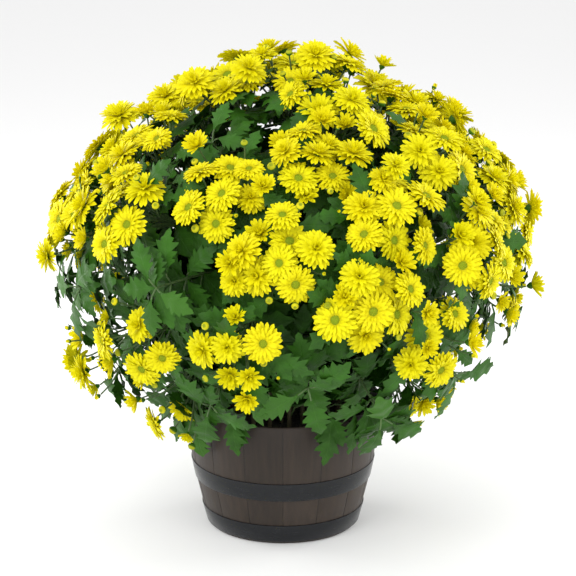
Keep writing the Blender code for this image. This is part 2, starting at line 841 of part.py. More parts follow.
def lay_leaves(aim, axis, walls, draw):
    latitude, azimuth, reach = aim
    levels = SHOOT_LEVELS if latitude > LOW_SHOOT else LOW_SHOOT_LEVELS
    nodes = [crown_point(latitude, azimuth, share * reach) for share in levels]
    turn = draw.uniform(0, math.tau)
    leaves = []
    for level, node in enumerate(nodes):
        count = 3 if level + 1 == len(nodes) else 2
        fitted = []
        for k in range(count):
            angle = turn + level * math.pi / 2 + k * math.tau / count
            leaf = fit_leaf(node, axis, angle, draw.uniform(*LEAF_LENGTH), walls)
            if leaf is not None:
                fitted.append(leaf)
        leaves.append(fitted)
    return {"nodes": nodes, "leaves": leaves}


def main():
    clear_scene()
    plant = bpy.data.collections.new("pot_chrysanthemum")
    cutters = bpy.data.collections.new("cutters")
    for collection in (plant, cutters):
        bpy.context.scene.collection.children.link(collection)
    brown = finish("barrel_brown", (0.060, 0.040, 0.030), 0.45)
    black = finish("hoop_black", (0.022, 0.024, 0.027), 0.30)
    earth = finish("soil_dark", (0.018, 0.014, 0.010), 0.95)
    petal = finish("petal_yellow", (0.86, 0.72, 0.01), 0.55)
    green = finish("leaf_green", (0.030, 0.110, 0.022), 0.50)
    stems = lay_out()
    make_pot(plant, cutters, brown)
    make_hoop("hoop_middle", HOOP_MIDDLE, plant, black)
    make_hoop("hoop_base", HOOP_BASE, plant, black)
    make_soil([stem["root"] for stem in stems], plant, cutters, earth)
    for k, stem in enumerate(stems, start=1):
        if stem["leafy"]:
            make_leafy_shoot(f"leafy_shoot_{k:02d}", stem, green, plant)
        else:
            make_flowering_stem(f"flowering_stem_{k:02d}", stem, (green, petal), plant)


main()
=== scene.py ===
"""Pot chrysanthemum: yellow blooms and cut leaves on branched stems, in a brown half-barrel pot."""

import math
import random

import bmesh
import bpy
from mathutils import Matrix, Vector, noise


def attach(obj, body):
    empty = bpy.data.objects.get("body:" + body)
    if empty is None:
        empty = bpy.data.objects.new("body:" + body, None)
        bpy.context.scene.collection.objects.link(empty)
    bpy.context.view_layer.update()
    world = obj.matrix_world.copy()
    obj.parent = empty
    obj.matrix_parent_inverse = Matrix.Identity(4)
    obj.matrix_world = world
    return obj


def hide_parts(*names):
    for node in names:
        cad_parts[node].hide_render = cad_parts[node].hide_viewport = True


bl_info = {
    "name": "Pot Chrysanthemum",
    "version": (1, 0, 0),
    "blender": (4, 5, 0),
    "location": "3D View > Sidebar > Chrysanthemum",
    "description": "Dresses the packed pot chrysanthemum with petals, leaves, soil and a barrel pot",
    "category": "Add Mesh",
}

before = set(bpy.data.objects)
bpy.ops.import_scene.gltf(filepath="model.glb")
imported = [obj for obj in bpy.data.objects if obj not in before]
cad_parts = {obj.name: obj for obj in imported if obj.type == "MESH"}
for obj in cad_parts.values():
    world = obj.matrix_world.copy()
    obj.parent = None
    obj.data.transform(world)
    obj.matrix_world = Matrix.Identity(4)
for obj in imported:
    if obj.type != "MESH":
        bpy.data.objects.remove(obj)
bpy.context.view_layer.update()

# The pot and its hoops. Metres, Z up, the front towards -Y.
POT_HEIGHT = 0.170
RIM_RADIUS = 0.127
WALL = 0.0040
FLOOR_TOP = 0.009
STAVES = 15
BARREL = (
    (0.0, 0.0960), (0.004, 0.0985), (0.030, 0.1055), (0.060, 0.1128), (0.092, 0.1193),
    (POT_HEIGHT, RIM_RADIUS),
)
# The foot's rounded edge: (height, radius, share of the seams' depth).
FOOT_EDGE = ((0.0, 0.0948, 0.0), (0.0006, 0.0962, 0.3), (0.0022, 0.0975, 0.8), (0.0045, 0.0986, 1.0))
WALL_LEVELS = (0.012, 0.030, 0.045, 0.060, 0.076, 0.092, 0.110, 0.130, 0.150, 0.1655)
# The rim's eased edge: (height, distance in from the rim, share of the seams' depth).
RIM_EDGE = (
    (0.1680, 0.0, 0.7), (0.1694, 0.0005, 0.3), (POT_HEIGHT, 0.0014, 0.0),
    (0.1698, WALL - 0.0012, 0.0), (0.1690, WALL, 0.0),
)
# A stave's corners, from seam to seam: (share of its width, half widths of the seam beside that,
# share of the seam's depth, darkness of the seam).
STAVE_CORNERS = (
    (0.0, 0.0, 1.0, 1.0), (0.0, 1.0, 0.25, 0.55), (0.0, 2.2, 0.0, 0.0), (0.34, 0.0, -0.2, 0.0),
    (0.66, 0.0, -0.2, 0.0), (1.0, -2.2, 0.0, 0.0), (1.0, -1.0, 0.25, 0.55),
)
DRAIN_HOLES = 4
DRAIN_RADIUS = 0.006
DRAIN_CIRCLE = 0.060
HOOPS = {"hoop_middle": (0.0645, 0.0895), "hoop_base": (0.0030, 0.0275)}
HOOP_EASE = 0.0010
HOOP_BACK = 0.0002
HOOP_SIDES = 120

# The soil: its rings up the wall and in over the top, and the crumbs on it.
SOIL_TOP = 0.152
SOIL_GAP = 0.0006
SOIL_LEVELS = (FLOOR_TOP + 0.0005, 0.060, 0.110, 0.1500)
SOIL_SHARES = (0.97, 0.9, 0.8, 0.7, 0.6, 0.48, 0.36, 0.24, 0.12)
SOIL_SIDES = 60
CRUMB_SIZE = (0.0012, 0.0034)
CRUMB_MARGIN = 0.004
CRUMB_SHAPE = (1.0, 0.8, 0.6)
# Lumps of the soil: (height, scale).
SOIL_LUMPS = ((0.0035, 60), (0.0025, 170))
ROOT_CIRCLE = 0.094

# The crown, laid out by the seeded rule that the solids follow.
CROWN_RADIUS = 0.316
CROWN_HALF_HEIGHT = 0.257
CROWN_CENTRE = Vector((0.006, 0.0, 0.372))
LOWEST_LATITUDE = math.radians(-58)
HIGHEST_LATITUDE = math.radians(86)
STEMS = 54
FIRST_AZIMUTH = math.radians(40)
GOLDEN_ANGLE = math.pi * (3 - math.sqrt(5))
AIM_WANDER = math.radians(3.5)
REACH = (0.955, 1.045)
SHOULDER_CUT = 0.22
LAYOUT_SEED = 23
REDRAWN = {18: 1, 23: 1, 25: 2, 29: 1, 30: 1, 39: 1, 41: 1, 48: 2, 50: 6}
LEAFY_STEMS = (4, 24, 25, 30, 35, 37, 39, 41, 42, 44, 46, 48, 49, 50, 53)
CELL_MARGIN = 0.0006
WIDEST_CELL = math.radians(75)
HEAD_SHARE = 0.66
STEM_RADIUS = 0.0026
STALK_RADIUS = 0.0011
ROOT_DEPTH = 0.006
OPEN_BLOOM = (0.0215, 0.0268)
YOUNG_BLOOM = (0.0145, 0.0180)
BUD = (0.0042, 0.0058)
# How many blooms and buds a stem has above a latitude.
HEADS = ((math.radians(-4), (8, 1)), (math.radians(-28), (6, 2)), (math.radians(-90), (4, 2)))
TIER_DROP = 0.016
TIER_SPACING = 0.85
LEAST_BLOOM = 0.0125
FACING_LIFT = 0.22
FACING_STRAY = 0.10
WHORL_PITCH = 1.55
PACKING_ROUNDS = 120
PACKING_SPREAD = 1.12
LEAF_LENGTH = (0.054, 0.070)
PETIOLE = 0.014
LEAF_HALF_OUTLINE = ((0.22, 0.27), (0.34, 0.15), (0.58, 0.31), (0.70, 0.13))
LEAF_BASE = (0.09, 0.035)
LEAF_DROOP = 0.14
LEAF_CURL = 0.50
LEAF_HANG = 0.30
PETIOLE_LEAN = (0.62, 0.78)
BLADE_LEAN = 0.16
LEAF_TURNS = (0, 12, -12, 24, -24, 36, -36, 48, -48)
LEAF_SHRINKS = (1.0, 0.9, 0.8, 0.7, 0.62)
POT_CLEARANCE = (0.006, 0.004)
SHOOT_LEVELS = (0.60, 0.71, 0.82, 0.92)
LOW_SHOOT_LEVELS = (0.72, 0.87)
LOW_SHOOT = math.radians(-47)

# A ray floret of unit length: (along, share of its width). The outer ones are grooved.
PETAL_STATIONS = ((0.0, 0.42), (0.52, 0.94), (0.87, 0.82), (1.0, 0.16))
INNER_STATIONS = ((0.0, 0.50), (0.62, 0.96), (1.0, 0.30))
PETAL_THICKNESS = 0.022
PETAL_HOLLOWS = (0.22, 0.40, 0.62)
# How a floret strays from its ring's rule, angles in degrees.
PITCH_STRAY = 3
BEND_STRAY = 14
SPACE_STRAY = 0.22
TILT_STRAY = 5
ROLL_STRAY = 13
PETAL_REACH = (0.90, 1.06)
PETAL_LIFT = 0.02
# Rings of florets, from the outside in: count, foot radius, foot height, pitch and bend in
# degrees, length and width, all lengths as shares of the bloom's radius.
OPEN_RINGS = (
    (24, 0.18, 0.00, 2, -12, 0.83, 0.240),
    (21, 0.20, 0.05, 15, -16, 0.68, 0.225),
    (17, 0.22, 0.09, 29, -20, 0.47, 0.185),
    (12, 0.245, 0.11, 46, -14, 0.24, 0.120),
)
FULL_RINGS = (
    (23, 0.12, -0.02, 4, -16, 0.88, 0.250),
    (20, 0.11, 0.05, 22, -14, 0.78, 0.240),
    (15, 0.09, 0.11, 42, -2, 0.62, 0.210),
    (10, 0.06, 0.14, 62, 24, 0.46, 0.180),
)
CUPPED_RINGS = (
    (16, 0.10, 0.00, 26, 10, 0.98, 0.320),
    (12, 0.08, 0.05, 50, 24, 0.84, 0.280),
    (8, 0.05, 0.08, 68, 36, 0.64, 0.240),
)
OPENING_RINGS = ((9, 0.42, -0.30, 72, 62, 1.30, 0.480), (6, 0.24, -0.10, 80, 52, 1.10, 0.400))
# Each kind's rings, then its disc's radius, height and number of florets.
BLOOM_KINDS = {
    "open": (OPEN_RINGS, 0.28, 0.13, 26),
    "full": (FULL_RINGS, 0.14, 0.10, 8),
    "cupped": (CUPPED_RINGS, 0.13, 0.08, 5),
    "opening": (OPENING_RINGS, 0.20, 0.30, 4),
}
BLOOMS_OF_A_KIND = 3
OPEN_SHARE = 0.62
# Outlines of turned shapes: (share of the radius, height).
DISC_PROFILE = ((1.0, -0.10), (1.0, 0.25), (0.72, 0.70), (0.30, 0.95))
CALYX_PROFILE = ((0.04, -0.30), (0.10, -0.26), (0.19, -0.14), (0.25, -0.02), (0.20, 0.03))
ROUND_SIDES = 10
OPENING_CUP = 2.6
# The disc's florets: radius and height of one, how far out they stand, and the dome that they
# follow, as its height in the middle and its fall to the edge.
DISC_FLORET = (0.040, 0.10)
DISC_REACH = 0.94
DISC_DOME = (0.95, 0.70)
DISC_FLORET_RISE = 0.02
# A bud's lobes: their number and depth, then its height and, at its flattened top, that height.
BUD_LOBES = (5, 0.10)
BUD_HEIGHT = 0.88
BUD_TOP = 0.62

# A leaf of unit length: (along the midrib, half width), tooth by tooth to the tip.
LEAF_OUTLINES = {
    "leaves": (
        (0.00, 0.018), (0.10, 0.034), (0.18, 0.090), (0.24, 0.220), (0.28, 0.262), (0.33, 0.165),
        (0.39, 0.290), (0.44, 0.330), (0.50, 0.175), (0.56, 0.270), (0.61, 0.285), (0.68, 0.140),
        (0.75, 0.170), (0.82, 0.100), (0.90, 0.075), (1.00, 0.006),
    ),
    "plain leaves": (
        (0.00, 0.020), (0.16, 0.080), (0.27, 0.270), (0.36, 0.160), (0.46, 0.320), (0.56, 0.160),
        (0.66, 0.240), (0.80, 0.110), (1.00, 0.008),
    ),
    "inner leaves": (
        (0.00, 0.020), (0.26, 0.240), (0.36, 0.190), (0.50, 0.310), (0.72, 0.180), (1.00, 0.010),
    ),
}
# How far a leaf droops along its length and curls across it.
LEAF_BENDS = ((0.34, 0.55), (0.48, 0.80), (0.26, 0.45), (0.42, 0.30))
LEAF_RISE = 0.16
LEAF_WANDER = (0.88, 1.12)
LEAF_SWAY = 0.06
LEAF_RIPPLE = 0.030
TOOTH_LEAN = 0.42
LEAF_THICKNESS = 0.007

# How a stem's blooms open as a bunch: drawn towards its axis, then fanned out from it.
BUNCH_PULL = (0.00, 0.20)
BUNCH_FAN = 6.5
BUNCH_STRAY = 0.20
TOP_STRAY = 0.22
HANG_EASE = 0.30
BLOOM_RISE = (-0.014, 0.008)
BUD_RISE = 0.005
LOW_BLOOM = 0.92
LATE_SHARE = 0.34
LATE_BLOOM = 0.76

# Young blooms and buds beside a bunch.
EXTRA_BLOOM = (0.0150, 0.0185)
EXTRA_BLOOM_ASIDE = (0.034, 0.068)
EXTRA_BUD_ASIDE = (0.036, 0.064)
LOW_EXTRA_BLOOMS = 1
YOUNG_HEAD_TRIES = 8
YOUNG_HEAD_REACH = (0.94, 1.0)
YOUNG_HEAD_LEAN = 0.4
YOUNG_HEAD_LIFT = 0.3

# Stems and stalks: steps and sides, then the radius at the foot and how far it falls to the end,
# or from node to node of a shoot, as shares, and how woody a stem is at its foot and its fork.
STEM_STEPS = 9
STEM_SIDES = 7
STALK_STEPS = 6
STALK_SIDES = 6
PETIOLE_SIDES = 5
STEM_TAPER = (1.15, 0.35)
STALK_TAPER = (1.25, 0.25)
SHOOT_TAPER = (0.8, 0.12)
WOODINESS = (0.85, 0.10)
FORK_SPACING = 0.006
FORK_LEAN = 0.6
# How far a curved run keeps its first and its last heading, as shares of its span.
ARCH_PULLS = (0.42, 0.32)
# How far below its head a stalk ends, as a share of the head's radius.
BLOOM_NECK = 0.28
BUD_NECK = 0.9
# Where a petiole meets its blade: along it and above it, as shares of the leaf's length.
BLADE_JOINT = (0.05, 0.01)
# Which points leaves leave: along a stalk, at the top of the main stem, and from where up it.
STALK_POINTS = (2, 3, 4, 5)
TOP_POINTS = (6, 7, 8)
LOWEST_LEAF_POINT = 3

# Leaves of the dressing: their lengths, tones and hang, and how many more the low stems have.
STALK_LEAF = (0.038, 0.060)
SHOOT_LEAF = (0.036, 0.055)
INNER_LEAF = (0.046, 0.066)
RIM_LEAF = (0.044, 0.062)
FRESH_SHARE = 0.09
UPPER_LEAF_CUT = 0.30
GROWN_TONES = (0.0, 0.70)
FRESH_TONES = (0.75, 1.0)
LEAST_LIFT = -0.05
LEAF_LIFT = 0.20
LOW_LEAF_LIFT = 0.75
LEAF_SAG = (0.05, 0.45)
UNDERSIDE_SAG = (0.1, 0.6)
LEAF_ROLL = 0.30
LEAF_SWING = 0.9
LOW_LEAVES_BELOW = math.radians(12)
LOW_EXTRA_LEAVES = 18
LOW_INNER_LEAVES = 18
# The leaves over the rim come from the stems below a latitude, and leave a gap at the front.
RIM_LEAF_LATITUDE = math.radians(-18)
RIM_LEAF_FOOT = POT_HEIGHT - 0.004
RIM_GAP = (-0.036, 0.012)
RIM_LEAF_SWING = 0.35
RIM_LEAF_OUT = (0.003, 0.014)
RIM_LEAF_UP = (0.008, 0.030)
RIM_LEAF_ASIDE = 0.5
RIM_LEAF_AWAY = (0.25, 0.7)

# The second colours of the finishes. The first ones are settings.
GOLDEN_PETAL = (0.84, 0.70, 0.004)
PALE_STREAK = (0.98, 0.88, 0.05)
GOLDEN_DISC = (0.52, 0.44, 0.01)
WOODY_STEM = (0.075, 0.050, 0.028)
GREEN_BUD = (0.36, 0.40, 0.012)
YELLOW_BUD = (0.68, 0.62, 0.008)
BUD_EYE = (0.26, 0.30, 0.01)
DUSTY_WOOD = (0.080, 0.060, 0.048)
DARK_SEAM = (0.008, 0.006, 0.005)
PALE_SCUFF = (0.020, 0.022, 0.025)
PEAT_FIBRE = (0.075, 0.055, 0.036)
WHITE = (1.0, 1.0, 1.0, 1.0)
PALE_FLOOR = (0.86, 0.86, 0.86, 1.0)

# The photograph's view: its size in pixels, what a pixel spans at the pot's axis, where the
# axis and the foot's middle lie in it, the camera's height above level and its distance.
PHOTO_SIDE = 576
PIXEL = 0.001316
AXIS_X = 283
FOOT_Y = 517.0
CAMERA_ELEVATION = math.radians(18)
CAMERA_DISTANCE = 6.0
SENSOR_WIDTH = 36

# Soft square lights: place, target, side in metres and power in watts.
LIGHTS = {
    "key": ((-1.6, -2.4, 2.6), (0, 0, 0.35), 1.8, 54.0),
    "fill": ((2.2, -1.8, 1.6), (0, 0, 0.30), 1.8, 20.0),
    "left": ((-1.3, 0.6, 0.5), (-0.2, 0.1, 0.02), 0.9, 13.0),
    "right": ((1.3, 0.6, 0.5), (0.2, 0.1, 0.02), 0.9, 12.0),
}
SKY_STRENGTH = 0.95
FLOOR_HALF_SIDE = 12.0


def colour_setting(name, description, default):
    return bpy.props.FloatVectorProperty(
        name=name, description=description, default=default, subtype="COLOR", min=0.0, max=1.0,
    )


def length_setting(name, description, default):
    return bpy.props.FloatProperty(
        name=name, description=description, default=default, unit="LENGTH", min=0.0,
    )


def scale_setting(name, description, default):
    return bpy.props.FloatProperty(
        name=name, description=description, default=default, min=0.5, max=1.5,
    )


def count_setting(name, description, default):
    return bpy.props.IntProperty(name=name, description=description, default=default, min=0)


class PotSettings(bpy.types.PropertyGroup):
    """Sizes and colours of the pot, its hoops and the soil."""

    seam_depth: length_setting("Seam depth", "Depth of the seams between staves", 0.0005)
    seam_half_angle: bpy.props.FloatProperty(
        name="Seam half angle", description="Half of the angle that a seam takes up round the pot",
        default=math.radians(0.35), min=0.0, subtype="ANGLE",
    )
    hoop_proud: length_setting("Hoop thickness", "How far the hoops stand out from the staves", 0.0014)
    crumbs: count_setting("Crumbs", "Number of loose crumbs on the soil", 260)
    stave_colour: colour_setting("Stave colour", "Colour of the barrel", (0.028, 0.0185, 0.0125))
    hoop_colour: colour_setting("Hoop colour", "Colour of the hoops", (0.004, 0.005, 0.007))
    soil_colour: colour_setting("Soil colour", "Colour of the potting soil", (0.030, 0.026, 0.018))


class PlantSettings(bpy.types.PropertyGroup):
    """Sizes and colours of the blooms, buds, leaves and stems."""

    bloom_ease: scale_setting("Bloom size", "Size of a bloom beside the solid that it stands for", 1.14)
    leaf_ease: scale_setting("Leaf size", "Size of a shoot's leaf beside the solid that it stands for", 0.98)
    stalk_leaves: count_setting("Stalk leaves", "Leaves below the blooms of each flowering stem", 22)
    shoot_leaves: count_setting("Shoot leaves", "Smaller leaves among each shoot's main ones", 18)
    spine_leaves: count_setting("Inner leaves", "Plainer leaves up each main stem, inside the crown", 26)
    rim_leaves: count_setting("Rim leaves", "Leaves hanging over the rim from each low stem", 3)
    extra_buds: count_setting("Extra buds", "Buds at the edge of each bunch, beside the solid's", 3)
    extra_blooms: count_setting("Extra blooms", "Young blooms at the edge of each upper bunch", 2)
    petal_colour: colour_setting("Petal colour", "Colour of the florets' outer part", (0.80, 0.745, 0.003))
    # The florets' feet: their own olive colour, darkened further as painted shade where they crowd.
    petal_foot_colour_and_shade: colour_setting("Petal foot colour", "Colour of the florets' feet", (0.56, 0.50, 0.004))
    disc_colour: colour_setting("Disc colour", "Colour of the disc in an open bloom", (0.34, 0.46, 0.015))
    leaf_colour: colour_setting("Leaf colour", "Colour of a full-grown leaf", (0.027, 0.102, 0.006))
    fresh_colour: colour_setting("Fresh leaf colour", "Colour of a young leaf", (0.042, 0.138, 0.011))
    stem_colour: colour_setting("Stem colour", "Colour of the stems and stalks", (0.070, 0.130, 0.035))


class Value:
    """One output of a node, so that shader maths is written as arithmetic."""

    def __init__(self, finish, socket):
        self.finish = finish
        self.socket = socket

    def maths(self, operation, *operands):
        return self.finish.node("ShaderNodeMath", {"operation": operation}, enumerate(operands))

    def __add__(self, other):
        return self.maths("ADD", self, other)

    __radd__ = __add__

    def __sub__(self, other):
        return self.maths("SUBTRACT", self, other)

    def __rsub__(self, other):
        return self.maths("SUBTRACT", other, self)

    def __mul__(self, other):
        return self.maths("MULTIPLY", self, other)

    __rmul__ = __mul__

    def __abs__(self):
        return self.maths("ABSOLUTE", self)

    def between(self, low, high):
        """0 below low, 1 above high, and a straight run from one to the other."""
        inputs = enumerate((self, low, high))
        return self.finish.node("ShaderNodeMapRange", {"clamp": True}, inputs)


class Finish:
    """A material whose Principled shader is fed by values of its own tree."""

    def __init__(self, name, specular=0.5, roughness=0.5):
        self.material = bpy.data.materials.new(name)
        self.material.use_nodes = True
        self.tree = self.material.node_tree
        self.shader = self.tree.nodes["Principled BSDF"]
        self.shader.inputs["Specular IOR Level"].default_value = specular
        self.shader.inputs["Roughness"].default_value = roughness

    def node(self, kind, settings=None, inputs=(), output=0):
        """A node of any type: its settings first, then its sockets. Returns one of its outputs."""
        node = self.tree.nodes.new(kind)
        for name, value in (settings or {}).items():
            setattr(node, name, value)
        for name, value in inputs:
            if isinstance(value, Value):
                self.tree.links.new(value.socket, node.inputs[name])
            else:
                node.inputs[name].default_value = value
        return Value(self, node.outputs[output])

    def attribute(self, name):
        return self.node("ShaderNodeAttribute", {"attribute_name": name}, output=2)

    def noise(self, scale, detail=3.0, stretch=(1.0, 1.0, 1.0), vector=None):
        """Noise over stretched Object coordinates, or over a vector of its own."""
        if vector is None:
            inputs = enumerate((self.node("ShaderNodeTexCoord", output=3), stretch))
            vector = self.node("ShaderNodeVectorMath", {"operation": "MULTIPLY"}, inputs)
        inputs = [("Vector", vector), ("Scale", scale), ("Detail", detail)]
        return self.node("ShaderNodeTexNoise", {}, inputs)

    def mix(self, factor, first, second):
        """A colour between two."""
        inputs = [(0, factor), (6, rgba(first)), (7, rgba(second))]
        return self.node("ShaderNodeMix", {"data_type": "RGBA"}, inputs, output=2)

    def mottled(self, colour, dark, light, pattern, low, high):
        """A colour between a darker and a lighter share of itself, as a pattern goes."""
        return self.mix(pattern.between(low, high), shade(colour, dark), shade(colour, light))

    def feed(self, socket, value):
        self.tree.links.new(value.socket, self.shader.inputs[socket])

    def bump(self, height, strength, distance):
        inputs = [("Strength", strength), ("Distance", distance), ("Height", height)]
        self.feed("Normal", self.node("ShaderNodeBump", {}, inputs))


def rgba(colour):
    return colour if isinstance(colour, Value) else (*colour[:3], 1.0)


def shade(colour, share):
    return tuple(min(1.0, part * share) for part in colour[:3])


def paint_petals(finish, settings):
    """Yellow florets: an olive foot, darkened further by painted shade where the florets crowd, fine grooves,
    and a tone for each bloom.
    """
    along, across, tone = (finish.attribute(name) for name in LAYERS)
    # Painted shade on top of the florets' own olive feet: darker towards the bloom's middle, where they
    # crowd.
    body = finish.mix(along.between(0.0, 0.40), settings.petal_foot_colour_and_shade, settings.petal_colour)
    golden = finish.mix(tone.between(0.0, 1.0) * 0.35, body, GOLDEN_PETAL)
    lengthwise = enumerate((across * 9.0, along * 1.5, tone * 40.0))
    streak = finish.noise(1.0, 2.0, vector=finish.node("ShaderNodeCombineXYZ", {}, lengthwise))
    finish.feed("Base Color", finish.mix(streak.between(0.55, 0.75) * 0.25, golden, PALE_STREAK))
    finish.bump(across.maths("COSINE", across * (2 * math.tau)), 0.35, 0.0004)


def paint_disc(finish, settings):
    """The disc's tight florets: a darker green on the dome and at the florets' feet as painted shade where
    they crowd, green to golden tips bloom by bloom.
    """
    along, _, tone = (finish.attribute(name) for name in LAYERS)
    middle = finish.mix(tone.between(0.2, 0.9), settings.disc_colour, GOLDEN_DISC)
    # Painted shade: the dome and the florets' feet take a darker share of the disc's colour.
    finish.feed("Base Color", finish.mix(along, shade(settings.disc_colour, 0.70), middle))
    finish.bump(finish.noise(2200.0, 2.0), 0.3, 0.0005)


def paint_leaves(finish, settings):
    """Matt green leaves: paler veins, patches of tone, fresher green on some."""
    along, across, tone = (finish.attribute(name) for name in LAYERS)
    patch = finish.noise(38.0)
    grown = finish.mottled(settings.leaf_colour, 0.75, 1.35, patch, 0.35, 0.7)
    body = finish.mix(tone.between(0.60, 1.0), grown, settings.fresh_colour)
    midrib = 1 - abs(across).between(0.03, 0.10)
    slant = (along - abs(across) * 0.16) * 6.5
    side_vein = 1 - slant.maths("PINGPONG", slant, 0.5).between(0.02, 0.09)
    vein = midrib.maths("MAXIMUM", midrib, side_vein * 0.55)
    pale = shade(settings.fresh_colour, 1.1)
    finish.feed("Base Color", finish.mix(vein * 0.22, body, pale))
    finish.feed("Roughness", 0.42 + patch * 0.16)
    finish.bump(finish.noise(900.0, 2.0) * 0.25 - vein, 0.45, 0.0006)


def paint_stems(finish, settings):
    """Green stalks that turn woody towards the foot."""
    grain = finish.noise(220.0, stretch=(1.0, 1.0, 0.15))
    green = finish.mottled(settings.stem_colour, 0.7, 1.3, grain, 0.35, 0.7)
    finish.feed("Base Color", finish.mix(finish.attribute("along"), green, WOODY_STEM))
    finish.bump(grain, 0.4, 0.0008)


def paint_buds(finish, settings):
    """Buds: green scales below, a ball from green to yellow bud by bud, and a green eye."""
    along, _, tone = (finish.attribute(name) for name in LAYERS)
    ball = finish.mix(tone.between(0.0, 0.5), GREEN_BUD, YELLOW_BUD)
    scaled = finish.mix(along.between(0.48, 0.66), settings.fresh_colour, ball)
    finish.feed("Base Color", finish.mix(along.between(0.90, 0.97), scaled, BUD_EYE))
    finish.bump(finish.noise(1500.0, 2.0), 0.3, 0.0005)


def paint_staves(finish, settings):
    """Dark stained barrel: upright grain, dusty clouds, a tone for each stave and dark seams."""
    base = settings.stave_colour
    grain = finish.noise(170.0, 5.0, (1.0, 1.0, 0.06))
    cloud = finish.noise(14.0, 3.0, (1.0, 1.0, 0.5))
    low = finish.mottled(base, 0.75, 1.35, grain, 0.30, 0.72)
    dusty = finish.mix(cloud.between(0.45, 0.75) * 0.30, low, DUSTY_WOOD)
    toned = finish.mix(finish.attribute("tone") * 0.45, dusty, shade(base, 0.55))
    finish.feed("Base Color", finish.mix(finish.attribute("seam") * 0.50, toned, DARK_SEAM))
    finish.feed("Roughness", 0.34 + grain * 0.20 + cloud * 0.08)
    finish.bump(grain * 0.7 + finish.noise(900.0, 2.0, (1.0, 1.0, 0.2)) * 0.3, 0.30, 0.0012)


def paint_hoops(finish, settings):
    """Satin black hoops with faint scuffs round them."""
    scuff = finish.noise(60.0, 4.0, (1.0, 1.0, 6.0))
    worn = finish.mix(scuff.between(0.55, 0.8) * 0.5, settings.hoop_colour, PALE_SCUFF)
    finish.feed("Base Color", worn)
    finish.feed("Roughness", 0.16 + scuff * 0.18)
    finish.bump(scuff, 0.12, 0.0010)


def paint_soil(finish, settings):
    """Damp peaty soil with lighter fibres."""
    grit = finish.noise(420.0, 6.0)
    dark = finish.mottled(settings.soil_colour, 0.5, 1.6, grit, 0.35, 0.7)
    fibre = finish.noise(130.0, 4.0, (4.0, 1.0, 1.0)).between(0.66, 0.72)
    finish.feed("Base Color", finish.mix(fibre * 0.6, dark, PEAT_FIBRE))
    finish.bump(grit, 0.9, 0.003)


# What paints each finish, its specular level and, where it is even, its roughness.
FINISHES = {
    "petal_yellow": (paint_petals, 0.12, 0.50),
    "disc_green": (paint_disc, 0.15, 0.70),
    "leaf_green": (paint_leaves, 0.22),
    "stem_green": (paint_stems, 0.50, 0.60),
    "bud_green": (paint_buds, 0.15, 0.60),
    "barrel_brown": (paint_staves, 0.35),
    "hoop_black": (paint_hoops, 0.36),
    "soil_dark": (paint_soil, 0.50, 0.95),
}
POT_FINISHES = ("barrel_brown", "hoop_black", "soil_dark")
GREENS = ("leaf_green", "stem_green")
PETALS = ("petal_yellow", "disc_green", "bud_green")
# The attributes that the finishes read.
LAYERS = ("along", "across", "tone")


def finish_named(name):
    """The material of that name, made on its first use."""
    made = bpy.data.materials.get(name + "_finish")
    if made is None:
        paint, *gloss = FINISHES[name]
        finish = Finish(name + "_finish", *gloss)
        scene = bpy.context.scene
        potted = name in POT_FINISHES
        paint(finish, scene.chrysanthemum_pot if potted else scene.chrysanthemum_plant)
        made = finish.material
    return made


def new_sheet():
    """An empty bmesh with the layers that the materials read."""
    bm = bmesh.new()
    for layer in LAYERS:
        bm.verts.layers.float.new(layer)
    return bm


def as_mesh(bm, name, recalculate=True):
    """The bmesh stored as a mesh, its faces turned outwards unless they already are."""
    if recalculate:
        bmesh.ops.recalc_face_normals(bm, faces=bm.faces)
    mesh = bpy.data.meshes.new(name)
    bm.to_mesh(mesh)
    bm.free()
    return mesh


def add_object(name, data):
    holder = bpy.data.objects.new(name, data)
    bpy.context.scene.collection.objects.link(holder)
    return holder


def as_piece(name, bm, finishes, node, sharp=40.0):
    """A finished piece: it rides on the root body and stands for its CAD node."""
    mesh = as_mesh(bm, name, recalculate=False)
    mesh.shade_smooth()
    mesh.set_sharp_from_angle(angle=math.radians(sharp))
    for finish in finishes:
        mesh.materials.append(finish_named(finish))
    piece = add_object(name, mesh)
    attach(piece, "root")
    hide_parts(node)
    return piece


def polar(radius, turn, height=0.0):
    """A point at a distance and a turn from the Z axis."""
    return Vector((radius * math.cos(turn), radius * math.sin(turn), height))


def circle(radius, height, sides):
    return [polar(radius, math.tau * k / sides, height) for k in range(sides)]


def swung(side, across, turn):
    """The direction at a turn from one direction towards another."""
    return side * math.cos(turn) + across * math.sin(turn)


def sideways(axis, turn):
    """A direction across an axis, turned about it."""
    return Matrix.Rotation(turn, 3, axis) @ axis.orthogonal().normalized()


def either_way(draw, most):
    return draw.uniform(-most, most)


def stray(draw, most):
    """A short vector any way."""
    return Vector([either_way(draw, most) for _ in range(3)])


def paint_faces(faces, index):
    for face in faces:
        face.material_index = index


def add_ring(bm, points):
    """A closed loop of edges through points."""
    verts = [bm.verts.new(point) for point in points]
    return [bm.edges.new(pair) for pair in zip(verts, verts[1:] + verts[:1])]


def loft(bm, rings, material=0):
    """Bridges rings of like corners one after another and caps the ends. Returns its corners."""
    known = len(bm.verts)
    loops = [add_ring(bm, ring) for ring in rings]
    faces = []
    for lower, upper in zip(loops, loops[1:]):
        faces += bmesh.ops.bridge_loops(bm, edges=lower + upper)["faces"]
    for end in (loops[0], loops[-1]):
        faces += bmesh.ops.contextual_create(bm, geom=end)["faces"]
    paint_faces(faces, material)
    bmesh.ops.recalc_face_normals(bm, faces=faces)
    bm.verts.ensure_lookup_table()
    return bm.verts[known:]


